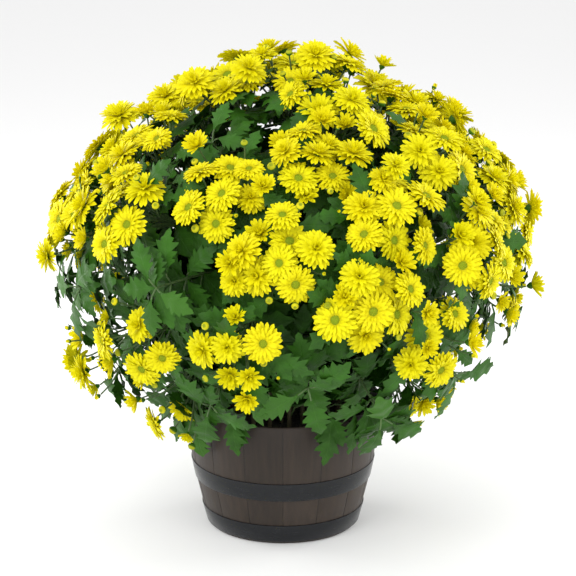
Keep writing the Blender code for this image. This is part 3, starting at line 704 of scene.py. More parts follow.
def stamp(bm, template, matrix, tone=None):
    """Adds a placed copy of a template mesh, with its own tone."""
    copy = template.copy()
    copy.transform(matrix)
    if tone is not None:
        copy.attributes["tone"].data.foreach_set("value", [tone] * len(copy.vertices))
    bm.from_mesh(copy)
    bpy.data.meshes.remove(copy)


def placed(place, along, normal, size):
    """The matrix that sets a template's X along a direction and its Z along a normal across it."""
    turn = Matrix((along, normal.cross(along), normal)).transposed().to_4x4()
    return Matrix.Translation(place) @ turn @ Matrix.Scale(size, 4)


def tube(bm, points, radii, sides, woody=(0.0, 0.0)):
    """A round stem through points, tapering by its radii, closed at both ends."""
    side = (points[1] - points[0]).orthogonal().normalized()
    turns = [math.tau * k / sides for k in range(sides)]
    rings = []
    for k, (point, radius) in enumerate(zip(points, radii)):
        heading = (points[min(k + 1, len(points) - 1)] - points[max(k - 1, 0)]).normalized()
        side = (side - heading * side.dot(heading)).normalized()
        across = heading.cross(side)
        rings.append([point + radius * swung(side, across, turn) for turn in turns])
    layer = bm.verts.layers.float["along"]
    for k, vert in enumerate(loft(bm, rings)):
        share = (k // sides) / (len(points) - 1)
        vert[layer] = woody[0] + (woody[1] - woody[0]) * share


def tapered(radius, foot, fall, steps):
    """Radii along a stem, from a share of its radius that falls evenly towards its end."""
    return [radius * (foot - fall * k / steps) for k in range(steps + 1)]


def arched(start, heading, end, arrival, steps):
    """Points of a smooth run that leaves start one way and comes to its end another."""
    span = (end - start).length
    leaving = start + heading * span * ARCH_PULLS[0]
    coming = end - arrival * span * ARCH_PULLS[1]
    points = []
    for k in range(steps + 1):
        share = k / steps
        rest = 1 - share
        early = start * rest**3 + leaving * 3 * rest**2 * share
        points.append(early + coming * 3 * rest * share**2 + end * share**3)
    return points


def floret(stations, grooved, width, pitch, bend, hollow):
    """A ray floret of unit length along +X, with raised edges and, if grooved, a channel."""
    bm = new_sheet()
    rings = []
    point, behind = Vector(), 0.0
    for along, share in stations:
        slope = math.radians(pitch + bend * (along + behind) / 2)
        point = point + Vector((math.cos(slope), 0, math.sin(slope))) * (along - behind)
        up = Vector((-math.sin(slope), 0, math.cos(slope)))
        half = width * share / 2
        edge, out = point + up * half * hollow, Vector((0, half, 0))
        rings.append([edge - out, point - up * PETAL_THICKNESS, edge + out] + [point] * grooved)
        behind = along
    along_layer, across_layer = (bm.verts.layers.float[name] for name in LAYERS[:2])
    corners = 3 + grooved
    for k, vert in enumerate(loft(bm, rings)):
        vert[along_layer] = stations[k // corners][0]
        vert[across_layer] = (-1.0, 0.0, 1.0, 0.0)[k % corners]
    return as_mesh(bm, "floret")


def bloom_mesh(draw, rings, disc_radius, disc_height, disc_florets):
    """A bloom of unit radius facing +Z: rings of florets round a domed disc."""
    bm = new_sheet()
    for level, (count, foot, height, pitch, bend, length, width) in enumerate(rings):
        outline = (INNER_STATIONS, False) if level else (PETAL_STATIONS, True)
        shapes = [
            floret(
                *outline, width / length, pitch + either_way(draw, PITCH_STRAY),
                bend + either_way(draw, BEND_STRAY), hollow,
            )
            for hollow in PETAL_HOLLOWS
        ]
        start = draw.uniform(0, math.tau)
        for k in range(count):
            turn = start + math.tau * (k + either_way(draw, SPACE_STRAY)) / count
            reach = length * draw.uniform(*PETAL_REACH)
            matrix = (
                Matrix.Rotation(turn, 4, "Z")
                @ Matrix.Translation((foot, 0, height + draw.uniform(0, PETAL_LIFT)))
                @ Matrix.Rotation(math.radians(either_way(draw, TILT_STRAY)), 4, "Y")
                @ Matrix.Rotation(math.radians(either_way(draw, ROLL_STRAY)), 4, "X")
                @ Matrix.Scale(reach, 4)
            )
            stamp(bm, draw.choice(shapes), matrix)
        for shape in shapes:
            bpy.data.meshes.remove(shape)
    add_disc(bm, disc_radius, disc_height, disc_florets)
    return as_mesh(bm, "bloom", recalculate=False)


def add_disc(bm, radius, height, florets):
    """A low dome packed with small pointed florets."""
    rings = [circle(radius * reach, height * rise, ROUND_SIDES) for reach, rise in DISC_PROFILE]
    loft(bm, rings, 1)
    tip = new_sheet()
    layer = tip.verts.layers.float["along"]
    width, depth = DISC_FLORET
    bmesh.ops.create_cone(
        tip, cap_ends=True, segments=4, radius1=width, radius2=0.0, depth=depth,
    )
    bmesh.ops.remove_doubles(tip, verts=tip.verts, dist=0.0001)
    for vert in tip.verts:
        vert[layer] = 1.0 if vert.co.z > 0 else 0.3
    paint_faces(tip.faces, 1)
    cone = as_mesh(tip, "disc_floret")
    for k in range(florets):
        reach = radius * DISC_REACH * math.sqrt((k + 0.5) / florets)
        rise = height * (DISC_DOME[0] - DISC_DOME[1] * (reach / radius) ** 2) + DISC_FLORET_RISE
        stamp(bm, cone, Matrix.Translation(polar(reach, k * GOLDEN_ANGLE, rise)))
    bpy.data.meshes.remove(cone)


def bud_mesh():
    """A bud of unit radius facing +Z: a ball with shallow lobes and a flattened top."""
    bm = new_sheet()
    bmesh.ops.create_uvsphere(bm, u_segments=10, v_segments=7, radius=1.0)
    layer = bm.verts.layers.float["along"]
    for vert in bm.verts:
        turn = math.atan2(vert.co.y, vert.co.x)
        vert[layer] = 0.5 + vert.co.z / 2
        scale = 1.0 + BUD_LOBES[1] * math.cos(BUD_LOBES[0] * turn) * (1 - vert.co.z**2)
        vert.co.x *= scale
        vert.co.y *= scale
        vert.co.z *= BUD_TOP if vert.co.z > 0.95 else BUD_HEIGHT
    paint_faces(bm.faces, 2)
    return as_mesh(bm, "bud")


def calyx_mesh():
    """The green cup under a bloom of unit radius facing +Z, its stalk end at the bottom."""
    bm = new_sheet()
    layer = bm.verts.layers.float["along"]
    for vert in loft(bm, [circle(reach, height, ROUND_SIDES) for reach, height in CALYX_PROFILE]):
        vert[layer] = 0.2
    return as_mesh(bm, "calyx")


def leaf_mesh(draw, outline, droop, curl):
    """A lobed, toothed leaf of unit length along +X, arched, its upper side towards +Z."""
    bm = new_sheet()
    rows = len(outline) - 1
    bmesh.ops.create_grid(bm, x_segments=rows, y_segments=2, size=1.0)
    layers = bm.verts.layers.float
    wander = [(draw.uniform(*LEAF_WANDER), draw.uniform(*LEAF_WANDER)) for _ in outline]
    sway = either_way(draw, LEAF_SWAY)
    for vert in bm.verts:
        row = round((vert.co.x + 1) / 2 * rows)
        across = vert.co.y
        along, half = outline[row]
        out = half * across * wander[row][across > 0]
        x = along + TOOTH_LEAN * abs(out)
        wave = math.cos(math.tau * (along * 3.1 - abs(across) * 0.4))
        ripple = LEAF_RIPPLE * wave * abs(across)
        vert[layers["along"]] = along
        vert[layers["across"]] = across
        vert.co = (x, out + sway * along**2, LEAF_RISE * x - droop * x**2 - curl * out**2 + ripple)
    bmesh.ops.recalc_face_normals(bm, faces=bm.faces)
    if sum(face.normal.z for face in bm.faces) < 0:
        bmesh.ops.reverse_faces(bm, faces=bm.faces)
    bmesh.ops.solidify(bm, geom=bm.faces, thickness=LEAF_THICKNESS)
    return as_mesh(bm, "leaf")


def templates():
    """The shapes that repeat over the plant, a list of each."""
    shapes = {"bud": [bud_mesh()], "calyx": [calyx_mesh()]}
    for k in range(BLOOMS_OF_A_KIND):
        draw = random.Random(f"bloom {k}")
        for kind, bloom in BLOOM_KINDS.items():
            shapes.setdefault(kind, []).append(bloom_mesh(draw, *bloom))
    draw = random.Random("leaves")
    for kind, outline in LEAF_OUTLINES.items():
        shapes[kind] = [leaf_mesh(draw, outline, *bend) for bend in LEAF_BENDS]
    return shapes


def crown_point(latitude, azimuth, share=1.0):
    """A point of the crown's surface, or that share of the way to it from the centre."""
    out, up = CROWN_RADIUS * math.cos(latitude), CROWN_HALF_HEIGHT * math.sin(latitude)
    return CROWN_CENTRE + share * polar(out, azimuth, up)


def crown_normal(point):
    """The outward direction of the ellipsoid through a point."""
    away = point - CROWN_CENTRE
    return Vector(
        (away.x / CROWN_RADIUS**2, away.y / CROWN_RADIUS**2, away.z / CROWN_HALF_HEIGHT**2)
    ).normalized()


def onto_crown(point, reach, drop):
    """The point moved along its ray from the centre to a share of the crown, less a drop."""
    away = point - CROWN_CENTRE
    scale = 1 / math.sqrt(
        (away.x**2 + away.y**2) / CROWN_RADIUS**2 + away.z**2 / CROWN_HALF_HEIGHT**2
    )
    return CROWN_CENTRE + away * scale * reach - away.normalized() * drop


def stem_aims(draw):
    """Where the stems open: (latitude, azimuth) down a golden-angle spiral, a little disturbed."""
    aims = []
    for k in range(STEMS):
        share = (k + 0.5) / STEMS
        latitude = math.asin(1 - share * (1 - math.sin(LOWEST_LATITUDE)))
        azimuth = FIRST_AZIMUTH + k * GOLDEN_ANGLE
        latitude += either_way(draw, AIM_WANDER)
        azimuth += either_way(draw, AIM_WANDER) / max(0.3, math.cos(latitude))
        aims.append((min(latitude, HIGHEST_LATITUDE), azimuth))
    return aims


def stem_reach(latitude, draw):
    """How far a stem reaches as a share of the ellipsoid: less at the crown's shoulders."""
    cut = SHOULDER_CUT * math.cos(latitude) * max(0.0, math.sin(latitude)) ** 2
    return draw.uniform(*REACH) * (1 - cut)


def cell_walls(own, axes):
    """Outward normals of the planes through the crown's centre, between a stem and those near."""
    near = [other for other in axes if other is not own and own.angle(other) < WIDEST_CELL]
    return [(other - own).normalized() for other in near]


def room_at(point, walls):
    """How far a point lies inside its cell."""
    away = point - CROWN_CENTRE
    return min(-away.dot(wall) for wall in walls)


def head_sizes(latitude, draw):
    """Radii of the blooms and buds of one stem: nine heads high on the crown, fewer below."""
    blooms, buds = next(heads for lowest, heads in HEADS if latitude > lowest)
    sizes = [draw.uniform(*OPEN_BLOOM) for _ in range(blooms)]
    sizes[-1] = draw.uniform(*YOUNG_BLOOM)
    return sizes + [draw.uniform(*BUD) for _ in range(buds)]


def spread_heads(centre, reach, sizes, walls, draw):
    """Places the heads in a golden-angle whorl, then pushes them apart inside the stem's cell."""
    normal = crown_normal(centre)
    side = normal.orthogonal().normalized()
    across = normal.cross(side)
    turn = draw.uniform(0, math.tau)
    pitch = WHORL_PITCH * sum(sizes) / len(sizes)
    drops = [TIER_DROP if size <= BUD[1] else TIER_DROP * (k % 2) for k, size in enumerate(sizes)]
    places = []
    for k, drop in enumerate(drops):
        away = swung(side, across, turn + k * GOLDEN_ANGLE)
        places.append(onto_crown(centre + away * (pitch * math.sqrt(k + 0.3)), reach, drop))
    for _ in range(PACKING_ROUNDS):
        for i, place in enumerate(places):
            push = Vector()
            for j, other in enumerate(places):
                if i == j:
                    continue
                apart = place - other
                lack = spacing(i, j, sizes, drops) * PACKING_SPREAD - apart.length
                if lack > 0:
                    push += apart.normalized() * lack * 0.5
            for wall in walls:
                lack = sizes[i] + CELL_MARGIN + (place - CROWN_CENTRE).dot(wall)
                if lack > 0:
                    push -= wall * lack
            places[i] = onto_crown(place + push, reach, drops[i])
    return places, trimmed(places, sizes, drops, walls)


def spacing(i, j, sizes, drops):
    """The least distance between two heads: less where they stand on different tiers."""
    share = 1.0 if drops[i] == drops[j] else TIER_SPACING
    return (sizes[i] + sizes[j]) * share + CELL_MARGIN


def trimmed(places, sizes, drops, walls):
    """The heads' radii, each cut back to the room that packing left it."""
    radii = []
    for i, place in enumerate(places):
        radius = min(sizes[i], room_at(place, walls) - CELL_MARGIN)
        for j, other in enumerate(places):
            if i != j:
                need = spacing(i, j, sizes, drops)
                radius = min(radius, sizes[i] * (place - other).length / need)
        radii.append(radius)
    return radii


def leaf_rim(base, along, normal, length):
    """The rim of a shoot's leaf, as it has to fit its cell."""
    out = normal.cross(along)
    shares = [(x, -y) for x, y in LEAF_HALF_OUTLINE] + [(1.0, 0.0)]
    shares += [(x, y) for x, y in reversed(LEAF_HALF_OUTLINE)]
    points = [base + length * (along * LEAF_BASE[0] + normal * LEAF_BASE[1])]
    for x, y in shares:
        sag = LEAF_DROOP * x * x + LEAF_CURL * y * y
        points.append(base + length * (along * x + out * y - normal * sag))
    return points


def leaf_frame(node, axis, turn):
    """Petiole end, blade direction and upper side of a leaf that leaves a shoot at a turn."""
    side = sideways(axis, turn)
    petiole = (axis * PETIOLE_LEAN[0] + side * PETIOLE_LEAN[1]).normalized()
    hang = LEAF_HANG * (1 - max(0.0, side.z)) * (1 - max(0.0, axis.z))
    along = (side + axis * BLADE_LEAN - Vector((0, 0, hang))).normalized()
    normal = (axis - along * axis.dot(along)).normalized()
    return node + petiole * PETIOLE, along, normal


def clears_pot(point):
    """Whether a point lies above the rim or outside it."""
    out, up = POT_CLEARANCE
    return point.z > POT_HEIGHT + up or point.xy.length > RIM_RADIUS + out


def fit_leaf(node, axis, turn, length, walls):
    """A leaf turned or shortened until it stays in its cell and off the pot."""
    for shrink in LEAF_SHRINKS:
        for swing in LEAF_TURNS:
            leaf = (*leaf_frame(node, axis, turn + math.radians(swing)), length * shrink)
            if all(room_at(p, walls) > CELL_MARGIN and clears_pot(p) for p in leaf_rim(*leaf)):
                return leaf
    return None


def lay_out():
    """Every stem as a dict: its root, its axis, and its blooms or its leaves."""
    draw = random.Random(LAYOUT_SEED)
    aims = stem_aims(draw)
    reaches = [stem_reach(latitude, draw) for latitude, _ in aims]
    axes = [(crown_point(*aim) - CROWN_CENTRE).normalized() for aim in aims]
    stems = []
    for k, (latitude, azimuth) in enumerate(aims):
        own = random.Random(LAYOUT_SEED * 1000 + k + STEMS * REDRAWN.get(k, 0))
        spread = math.sqrt((1 - math.sin(latitude)) / (1 - math.sin(LOWEST_LATITUDE)))
        stem = {
            "number": k + 1, "root": polar(ROOT_CIRCLE * min(1.0, spread), azimuth, SOIL_TOP),
            "axis": axes[k], "latitude": latitude, "leafy": k in LEAFY_STEMS,
        }
        aim, walls = (latitude, azimuth, reaches[k]), cell_walls(axes[k], axes)
        if stem["leafy"]:
            stem.update(lay_leaves(aim, axes[k], walls, own))
        else:
            stem.update(lay_blooms(aim, walls, own))
        stems.append(stem)
    return stems


def head_of(place, facing, radius, bud, turn):
    """A bloom or bud as a dict."""
    facing = facing.normalized()
    return {"place": place, "facing": facing, "radius": radius, "bud": bud, "turn": turn}


def lay_blooms(aim, walls, draw):
    """A flowering stem's fork and its heads, inside its cell."""
    latitude, azimuth, reach = aim
    sizes = head_sizes(latitude, draw)
    places, radii = spread_heads(crown_point(latitude, azimuth), reach, sizes, walls, draw)
    blooms = []
    for place, radius in zip(places, radii):
        facing = crown_normal(place) + Vector((0, 0, FACING_LIFT)) + stray(draw, FACING_STRAY)
        bud = radius < LEAST_BLOOM
        if bud:
            radius = min(radius, BUD[1])
        blooms.append(head_of(place, facing, radius, bud, draw.uniform(0, math.tau)))
    return {"head": crown_point(latitude, azimuth, HEAD_SHARE * reach), "blooms": blooms}


def lay_leaves(aim, axis, walls, draw):
    """A leafy shoot's nodes and the leaves that leave them, inside its cell."""
    latitude, azimuth, reach = aim
    levels = SHOOT_LEVELS if latitude > LOW_SHOOT else LOW_SHOOT_LEVELS
    nodes = [crown_point(latitude, azimuth, share * reach) for share in levels]
    turn = draw.uniform(0, math.tau)
    leaves = []
    for level, node in enumerate(nodes):
        count = 3 if level + 1 == len(nodes) else 2
        for k in range(count):
            angle = turn + level * math.pi / 2 + k * math.tau / count
            leaf = fit_leaf(node, axis, angle, draw.uniform(*LEAF_LENGTH), walls)
            if leaf is not None:
                leaves.append((node, leaf))
    return {"nodes": nodes, "leaves": leaves}


def open_bunch(stem):
    """Draws a stem's heads together and turns each away from the bunch's axis."""
    draw = random.Random(f"bunch {stem['number']}")
    pull = draw.uniform(*BUNCH_PULL)
    most = BUNCH_STRAY + TOP_STRAY * max(0.0, math.sin(stem["latitude"]))
    for bloom in stem["blooms"]:
        away = bloom["place"] - CROWN_CENTRE
        aside = away - stem["axis"] * away.length
        bloom["place"] = CROWN_CENTRE + (away - aside * pull).normalized() * away.length
        facing = bloom["facing"] + aside * BUNCH_FAN
        if facing.z < 0:
            facing.z *= HANG_EASE
        bloom["facing"] = (facing + stray(draw, most)).normalized()
        bloom["place"] += stem["axis"] * (BUD_RISE if bloom["bud"] else draw.uniform(*BLOOM_RISE))


def add_young_heads(stem, taken, settings):
    """Young blooms and buds beside a bunch, each where the crown is barest of those tried."""
    draw = random.Random(f"young heads {stem['number']}")
    reach = (stem["blooms"][0]["place"] - CROWN_CENTRE).length
    young = settings.extra_blooms if stem["latitude"] > 0 else LOW_EXTRA_BLOOMS
    for k in range(young + settings.extra_buds):
        bud = k >= young
        choices = []
        for _ in range(YOUNG_HEAD_TRIES):
            side = sideways(stem["axis"], draw.uniform(0, math.tau))
            place = CROWN_CENTRE + stem["axis"] * reach * draw.uniform(*YOUNG_HEAD_REACH)
            place += side * draw.uniform(*(EXTRA_BUD_ASIDE if bud else EXTRA_BLOOM_ASIDE))
            choices.append((min((place - other).length for other in taken), place, side))
        _, place, side = max(choices, key=lambda choice: choice[0])
        taken.append(place)
        facing = stem["axis"] + side * YOUNG_HEAD_LEAN + Vector((0, 0, YOUNG_HEAD_LIFT))
        radius = draw.uniform(*(BUD if bud else EXTRA_BLOOM))
        stem["blooms"].append(head_of(place, facing, radius, bud, draw.uniform(0, math.tau)))


def add_main_stem(bm, stem, goal):
    """The stem from the soil, upright at first, then out along its axis to the first fork."""
    foot = Vector((*stem["root"].xy, SOIL_TOP - ROOT_DEPTH))
    points = arched(foot, Vector((0, 0, 1)), goal, stem["axis"], STEM_STEPS)
    tube(bm, points, tapered(STEM_RADIUS, *STEM_TAPER, STEM_STEPS), STEM_SIDES, WOODINESS)
    return points


def add_stalk(bm, start, heading, bloom):
    """A thin stalk from the fork to just under a bloom or bud."""
    below = bloom["radius"] * (BUD_NECK if bloom["bud"] else BLOOM_NECK)
    end = bloom["place"] - bloom["facing"] * below
    points = arched(start, heading, end, bloom["facing"], STALK_STEPS)
    tube(bm, points, tapered(STALK_RADIUS, *STALK_TAPER, STALK_STEPS), STALK_SIDES)
    return points


def add_petiole(bm, start, heading, end, arrival, steps):
    """The thin stalk of one leaf."""
    known = len(bm.faces)
    points = arched(start, heading, end, arrival, steps)
    tube(bm, points, [STALK_RADIUS] * len(points), PETIOLE_SIDES)
    bm.faces.ensure_lookup_table()
    paint_faces(bm.faces[known:], 1)


def add_leaf(bm, leaves, base, along, normal, length, draw, fresh=FRESH_SHARE):
    """One leaf blade placed by its base, with its own tone."""
    tone = draw.uniform(*(GROWN_TONES if draw.random() > fresh else FRESH_TONES))
    stamp(bm, draw.choice(leaves), placed(base, along, normal, length), tone)


def hanging_leaf(point, out, draw, lift=LEAF_LIFT):
    """Direction and upper side of a leaf that leaves a stalk at a point, level or hanging."""
    up = crown_normal(point)
    hang = draw.uniform(*LEAF_SAG) + draw.uniform(*UNDERSIDE_SAG) * max(0.0, -up.z)
    along = (out + up * draw.uniform(LEAST_LIFT, lift) - Vector((0, 0, hang))).normalized()
    normal = up + stray(draw, LEAF_ROLL)
    return along, (normal - along * normal.dot(along)).normalized()


def add_blooms(green, stem, shapes, settings, draw):
    """Adds the green cups below a stem's blooms, and returns a sheet of its blooms and buds."""
    yellow = new_sheet()
    ease = settings.bloom_ease * (1.0 if stem["latitude"] > 0 else LOW_BLOOM)
    for bloom in stem["blooms"]:
        place, facing, radius = bloom["place"], bloom["facing"], bloom["radius"]
        side = sideways(facing, bloom["turn"])
        tone = draw.random()
        if bloom["bud"]:
            matrix = placed(place, side, facing, radius)
            if tone > 0.5:
                stamp(yellow, draw.choice(shapes["opening"]), matrix, tone)
                stamp(green, shapes["calyx"][0], matrix @ Matrix.Scale(OPENING_CUP, 4), tone)
            else:
                stamp(yellow, shapes["bud"][0], matrix, tone)
            continue
        late = stem["latitude"] < 0 and draw.random() < LATE_SHARE
        matrix = placed(place, side, facing, radius * ease * (LATE_BLOOM if late else 1.0))
        if late or radius < YOUNG_BLOOM[1]:
            kind = "cupped"
        else:
            kind = "open" if draw.random() < OPEN_SHARE else "full"
        stamp(yellow, draw.choice(shapes[kind]), matrix, tone)
        stamp(green, shapes["calyx"][0], matrix, tone)
    return yellow


def add_stalk_leaves(bm, stem, shapes, stalks, spine, count, draw):
    """Leaves along the stalks, turned outwards, then along the top of the main stem."""
    low = stem["latitude"] < LOW_LEAVES_BELOW
    for k in range(count + LOW_EXTRA_LEAVES * low):
        if k < 2 * len(stalks):
            point = stalks[k % len(stalks)][draw.choice(STALK_POINTS)]
        else:
            point = spine[draw.choice(TOP_POINTS)]
        off = point - stem["head"]
        out = off - stem["axis"] * off.dot(stem["axis"])
        if out.length < 0.004:
            out = sideways(stem["axis"], draw.uniform(0, math.tau))
        out = Matrix.Rotation(either_way(draw, LEAF_SWING), 3, stem["axis"]) @ out.normalized()
        along, normal = hanging_leaf(point, out, draw, LOW_LEAF_LIFT if low else LEAF_LIFT)
        kind = "leaves" if k % 2 else "plain leaves"
        add_leaf(bm, shapes[kind], point, along, normal, draw.uniform(*STALK_LEAF), draw)


def add_spine_leaves(bm, stem, shapes, spine, count, draw):
    """Older, plainer leaves up the main stem, more of them low down: they close the crown."""
    for k in range(count + LOW_INNER_LEAVES * (stem["latitude"] < 0)):
        low = LOWEST_LEAF_POINT + k % (STEM_STEPS - LOWEST_LEAF_POINT)
        point = spine[low].lerp(spine[low + 1], draw.random())
        if not clears_pot(point):
            continue
        out = sideways(stem["axis"], draw.uniform(0, math.tau))
        along, normal = hanging_leaf(point, out, draw)
        length = draw.uniform(*INNER_LEAF)
        if clears_pot(point + along * length):
            add_leaf(bm, shapes["inner leaves"], point, along, normal, length, draw, fresh=0.0)


def add_rim_leaves(bm, stem, shapes, count, draw):
    """Leaves on long petioles from a low stem's foot, hanging over the rim."""
    if stem["latitude"] > RIM_LEAF_LATITUDE:
        return
    foot = Vector((*stem["root"].xy, RIM_LEAF_FOOT))
    outward = Vector((*foot.xy, 0)).normalized()
    for _ in range(count):
        away = Matrix.Rotation(either_way(draw, RIM_LEAF_SWING), 3, "Z") @ outward
        base = away * (RIM_RADIUS + draw.uniform(*RIM_LEAF_OUT))
        base.z = POT_HEIGHT + draw.uniform(*RIM_LEAF_UP)
        if base.y < 0 and RIM_GAP[0] < base.x < RIM_GAP[1]:
            continue
        aside = Vector((-away.y, away.x, 0)) * either_way(draw, RIM_LEAF_ASIDE)
        along = (away * draw.uniform(*RIM_LEAF_AWAY) + aside - Vector((0, 0, 1))).normalized()
        if base.y < 0 and RIM_GAP[0] < base.x + along.x * LEAF_LENGTH[0] < RIM_GAP[1]:
            continue
        normal = (away - along * away.dot(along)).normalized()
        add_petiole(bm, foot, Vector((0, 0, 1)), base, along, 4)
        add_leaf(bm, shapes["leaves"], base, along, normal, draw.uniform(*RIM_LEAF), draw)


def add_shoot_leaves(bm, stem, shapes, settings, draw):
    """A shoot's main leaves, those of the solid, then smaller ones among them."""
    ease = settings.leaf_ease * (1 - UPPER_LEAF_CUT * max(0.0, math.sin(stem["latitude"])))
    for _, (base, along, normal, length) in stem["leaves"]:
        add_leaf(bm, shapes["leaves"], base, along, normal, length * ease, draw)
    for k in range(settings.shoot_leaves):
        node = stem["nodes"][k % len(stem["nodes"])]
        out = sideways(stem["axis"], draw.uniform(0, math.tau))
        along, normal = hanging_leaf(node, out, draw)
        length = draw.uniform(*SHOOT_LEAF)
        kind = "leaves" if k % 2 else "plain leaves"
        if clears_pot(node) and clears_pot(node + along * length):
            add_leaf(bm, shapes[kind], node, along, normal, length, draw)


def make_stem(stem, shapes, settings):
    """A main stem with its stalks and leaves in one piece, and any blooms in another."""
    name = f"{'leafy_shoot' if stem['leafy'] else 'flowering_stem'}_{stem['number']:02d}"
    draw = random.Random(name + " dressing")
    green = new_sheet()
    spine = add_main_stem(green, stem, stem["nodes"][0] if stem["leafy"] else stem["head"])
    if stem["leafy"]:
        foot, fall = SHOOT_TAPER
        radii = [STEM_RADIUS * (foot - fall * k) for k in range(len(stem["nodes"]))]
        tube(green, stem["nodes"], radii, STALK_SIDES)
        for node, (base, along, normal, length) in stem["leaves"]:
            end = base + along * length * BLADE_JOINT[0] + normal * length * BLADE_JOINT[1]
            add_petiole(green, node, (end - node).normalized(), end, along, 3)
        paint_faces(green.faces, 1)
        add_shoot_leaves(green, stem, shapes, settings, draw)
    else:
        stalks = []
        for k, bloom in enumerate(stem["blooms"]):
            start = stem["head"] - stem["axis"] * FORK_SPACING * (k % 4)
            toward = (bloom["place"] - start).normalized()
            heading = (stem["axis"] + toward * FORK_LEAN).normalized()
            stalks.append(add_stalk(green, start, heading, bloom))
        paint_faces(green.faces, 1)
        yellow = add_blooms(green, stem, shapes, settings, draw)
        add_stalk_leaves(green, stem, shapes, stalks, spine, settings.stalk_leaves, draw)
    add_spine_leaves(green, stem, shapes, spine, settings.spine_leaves, draw)
    add_rim_leaves(green, stem, shapes, settings.rim_leaves, draw)
    as_piece(name + "_greens", green, GREENS, name)
    if not stem["leafy"]:
        as_piece(name + "_blooms", yellow, PETALS, name)


def barrel_radius(height):
    """The outer wall's radius at a height, read along the profile."""
    for (low, narrow), (high, wide) in zip(BARREL, BARREL[1:]):
        if height <= high:
            return narrow + (wide - narrow) * (height - low) / (high - low)
    return RIM_RADIUS


def stave_ring(radius, height, depth, half_angle):
    """A level ring round the pot, stave by stave, with its seams cut in."""
    pitch = math.tau / STAVES
    points = []
    for stave in range(STAVES):
        for width, lips, inward, _ in STAVE_CORNERS:
            turn = -math.pi / 2 + stave * pitch + (width * pitch + lips * half_angle)
            points.append(polar(radius - depth * inward, turn, height))
    return points


def make_pot(settings):
    """The barrel: a rounded foot, seamed staves, an eased rim, a plain inside and drain holes."""
    bm = new_sheet()
    seam = bm.verts.layers.float.new("seam")
    tone = bm.verts.layers.float["tone"]
    outline = [*FOOT_EDGE, *((z, barrel_radius(z), 1.0) for z in WALL_LEVELS)]
    outline += [(z, RIM_RADIUS - inward, share) for z, inward, share in RIM_EDGE]
    outline += [(FLOOR_TOP, barrel_radius(FLOOR_TOP) - WALL, 0.0)]
    rings = [
        stave_ring(radius, z, settings.seam_depth * share, settings.seam_half_angle)
        for z, radius, share in outline
    ]
    draw = random.Random("staves")
    tones = [draw.random() for _ in range(STAVES)]
    for k, vert in enumerate(loft(bm, rings)):
        row, corner = divmod(k, len(STAVE_CORNERS) * STAVES)
        stave, corner = divmod(corner, len(STAVE_CORNERS))
        vert[seam] = outline[row][2] * STAVE_CORNERS[corner][3]
        vert[tone] = tones[stave]
    drill_drains(as_piece("pot_barrel", bm, ("barrel_brown",), "pot", 50.0))


def drill_drains(pot):
    """Cuts the drain holes through the pot's floor."""
    drills = bmesh.new()
    for k in range(DRAIN_HOLES):
        spot = polar(DRAIN_CIRCLE, math.tau * (k + 0.5) / DRAIN_HOLES, FLOOR_TOP / 2)
        bmesh.ops.create_cone(
            drills, cap_ends=True, segments=20, radius1=DRAIN_RADIUS, radius2=DRAIN_RADIUS,
            depth=3 * FLOOR_TOP, matrix=Matrix.Translation(spot),
        )
    cutter = add_object("drain_cutter", as_mesh(drills, "drain_cutter"))
    cut = pot.modifiers.new("drains", "BOOLEAN")
    cut.operation = "DIFFERENCE"
    cut.object = cutter
    cut.solver = "EXACT"
    bpy.context.view_layer.update()
    whole = pot.data
    drilled = pot.evaluated_get(bpy.context.evaluated_depsgraph_get())
    pot.data = bpy.data.meshes.new_from_object(drilled)
    pot.modifiers.clear()
    bpy.data.meshes.remove(whole)
    bpy.data.objects.remove(cutter, do_unlink=True)


def make_hoop(name, span, proud):
    """A flat band with rounded edges, turned about the pot's axis."""
    low, high = span
    ease, slight = HOOP_EASE, HOOP_EASE * 0.3
    section = (
        (high, HOOP_BACK), (high, proud - ease), (high - slight, proud - slight),
        (high - ease, proud), (low + ease, proud), (low + slight, proud - slight),
        (low, proud - ease), (low, HOOP_BACK),
    )
    bm = new_sheet()
    edges = add_ring(bm, [Vector((0.0, -barrel_radius(z) - out, z)) for z, out in section])
    bmesh.ops.spin(
        bm, geom=list(bm.verts) + edges, axis=(0, 0, 1), cent=(0, 0, 0), angle=math.tau,
        steps=HOOP_SIDES, use_merge=True,
    )
    bmesh.ops.remove_doubles(bm, verts=bm.verts, dist=0.000001)
    bmesh.ops.recalc_face_normals(bm, faces=bm.faces)
    as_piece(name + "_band", bm, ("hoop_black",), name, 50.0)


def crumb_mesh():
    """An uneven lump of unit radius."""
    bm = new_sheet()
    bmesh.ops.create_icosphere(bm, subdivisions=1, radius=1.0)
    for vert in bm.verts:
        vert.co *= 1 + 0.35 * noise.noise(vert.co * 2.3)
    return as_mesh(bm, "crumb")


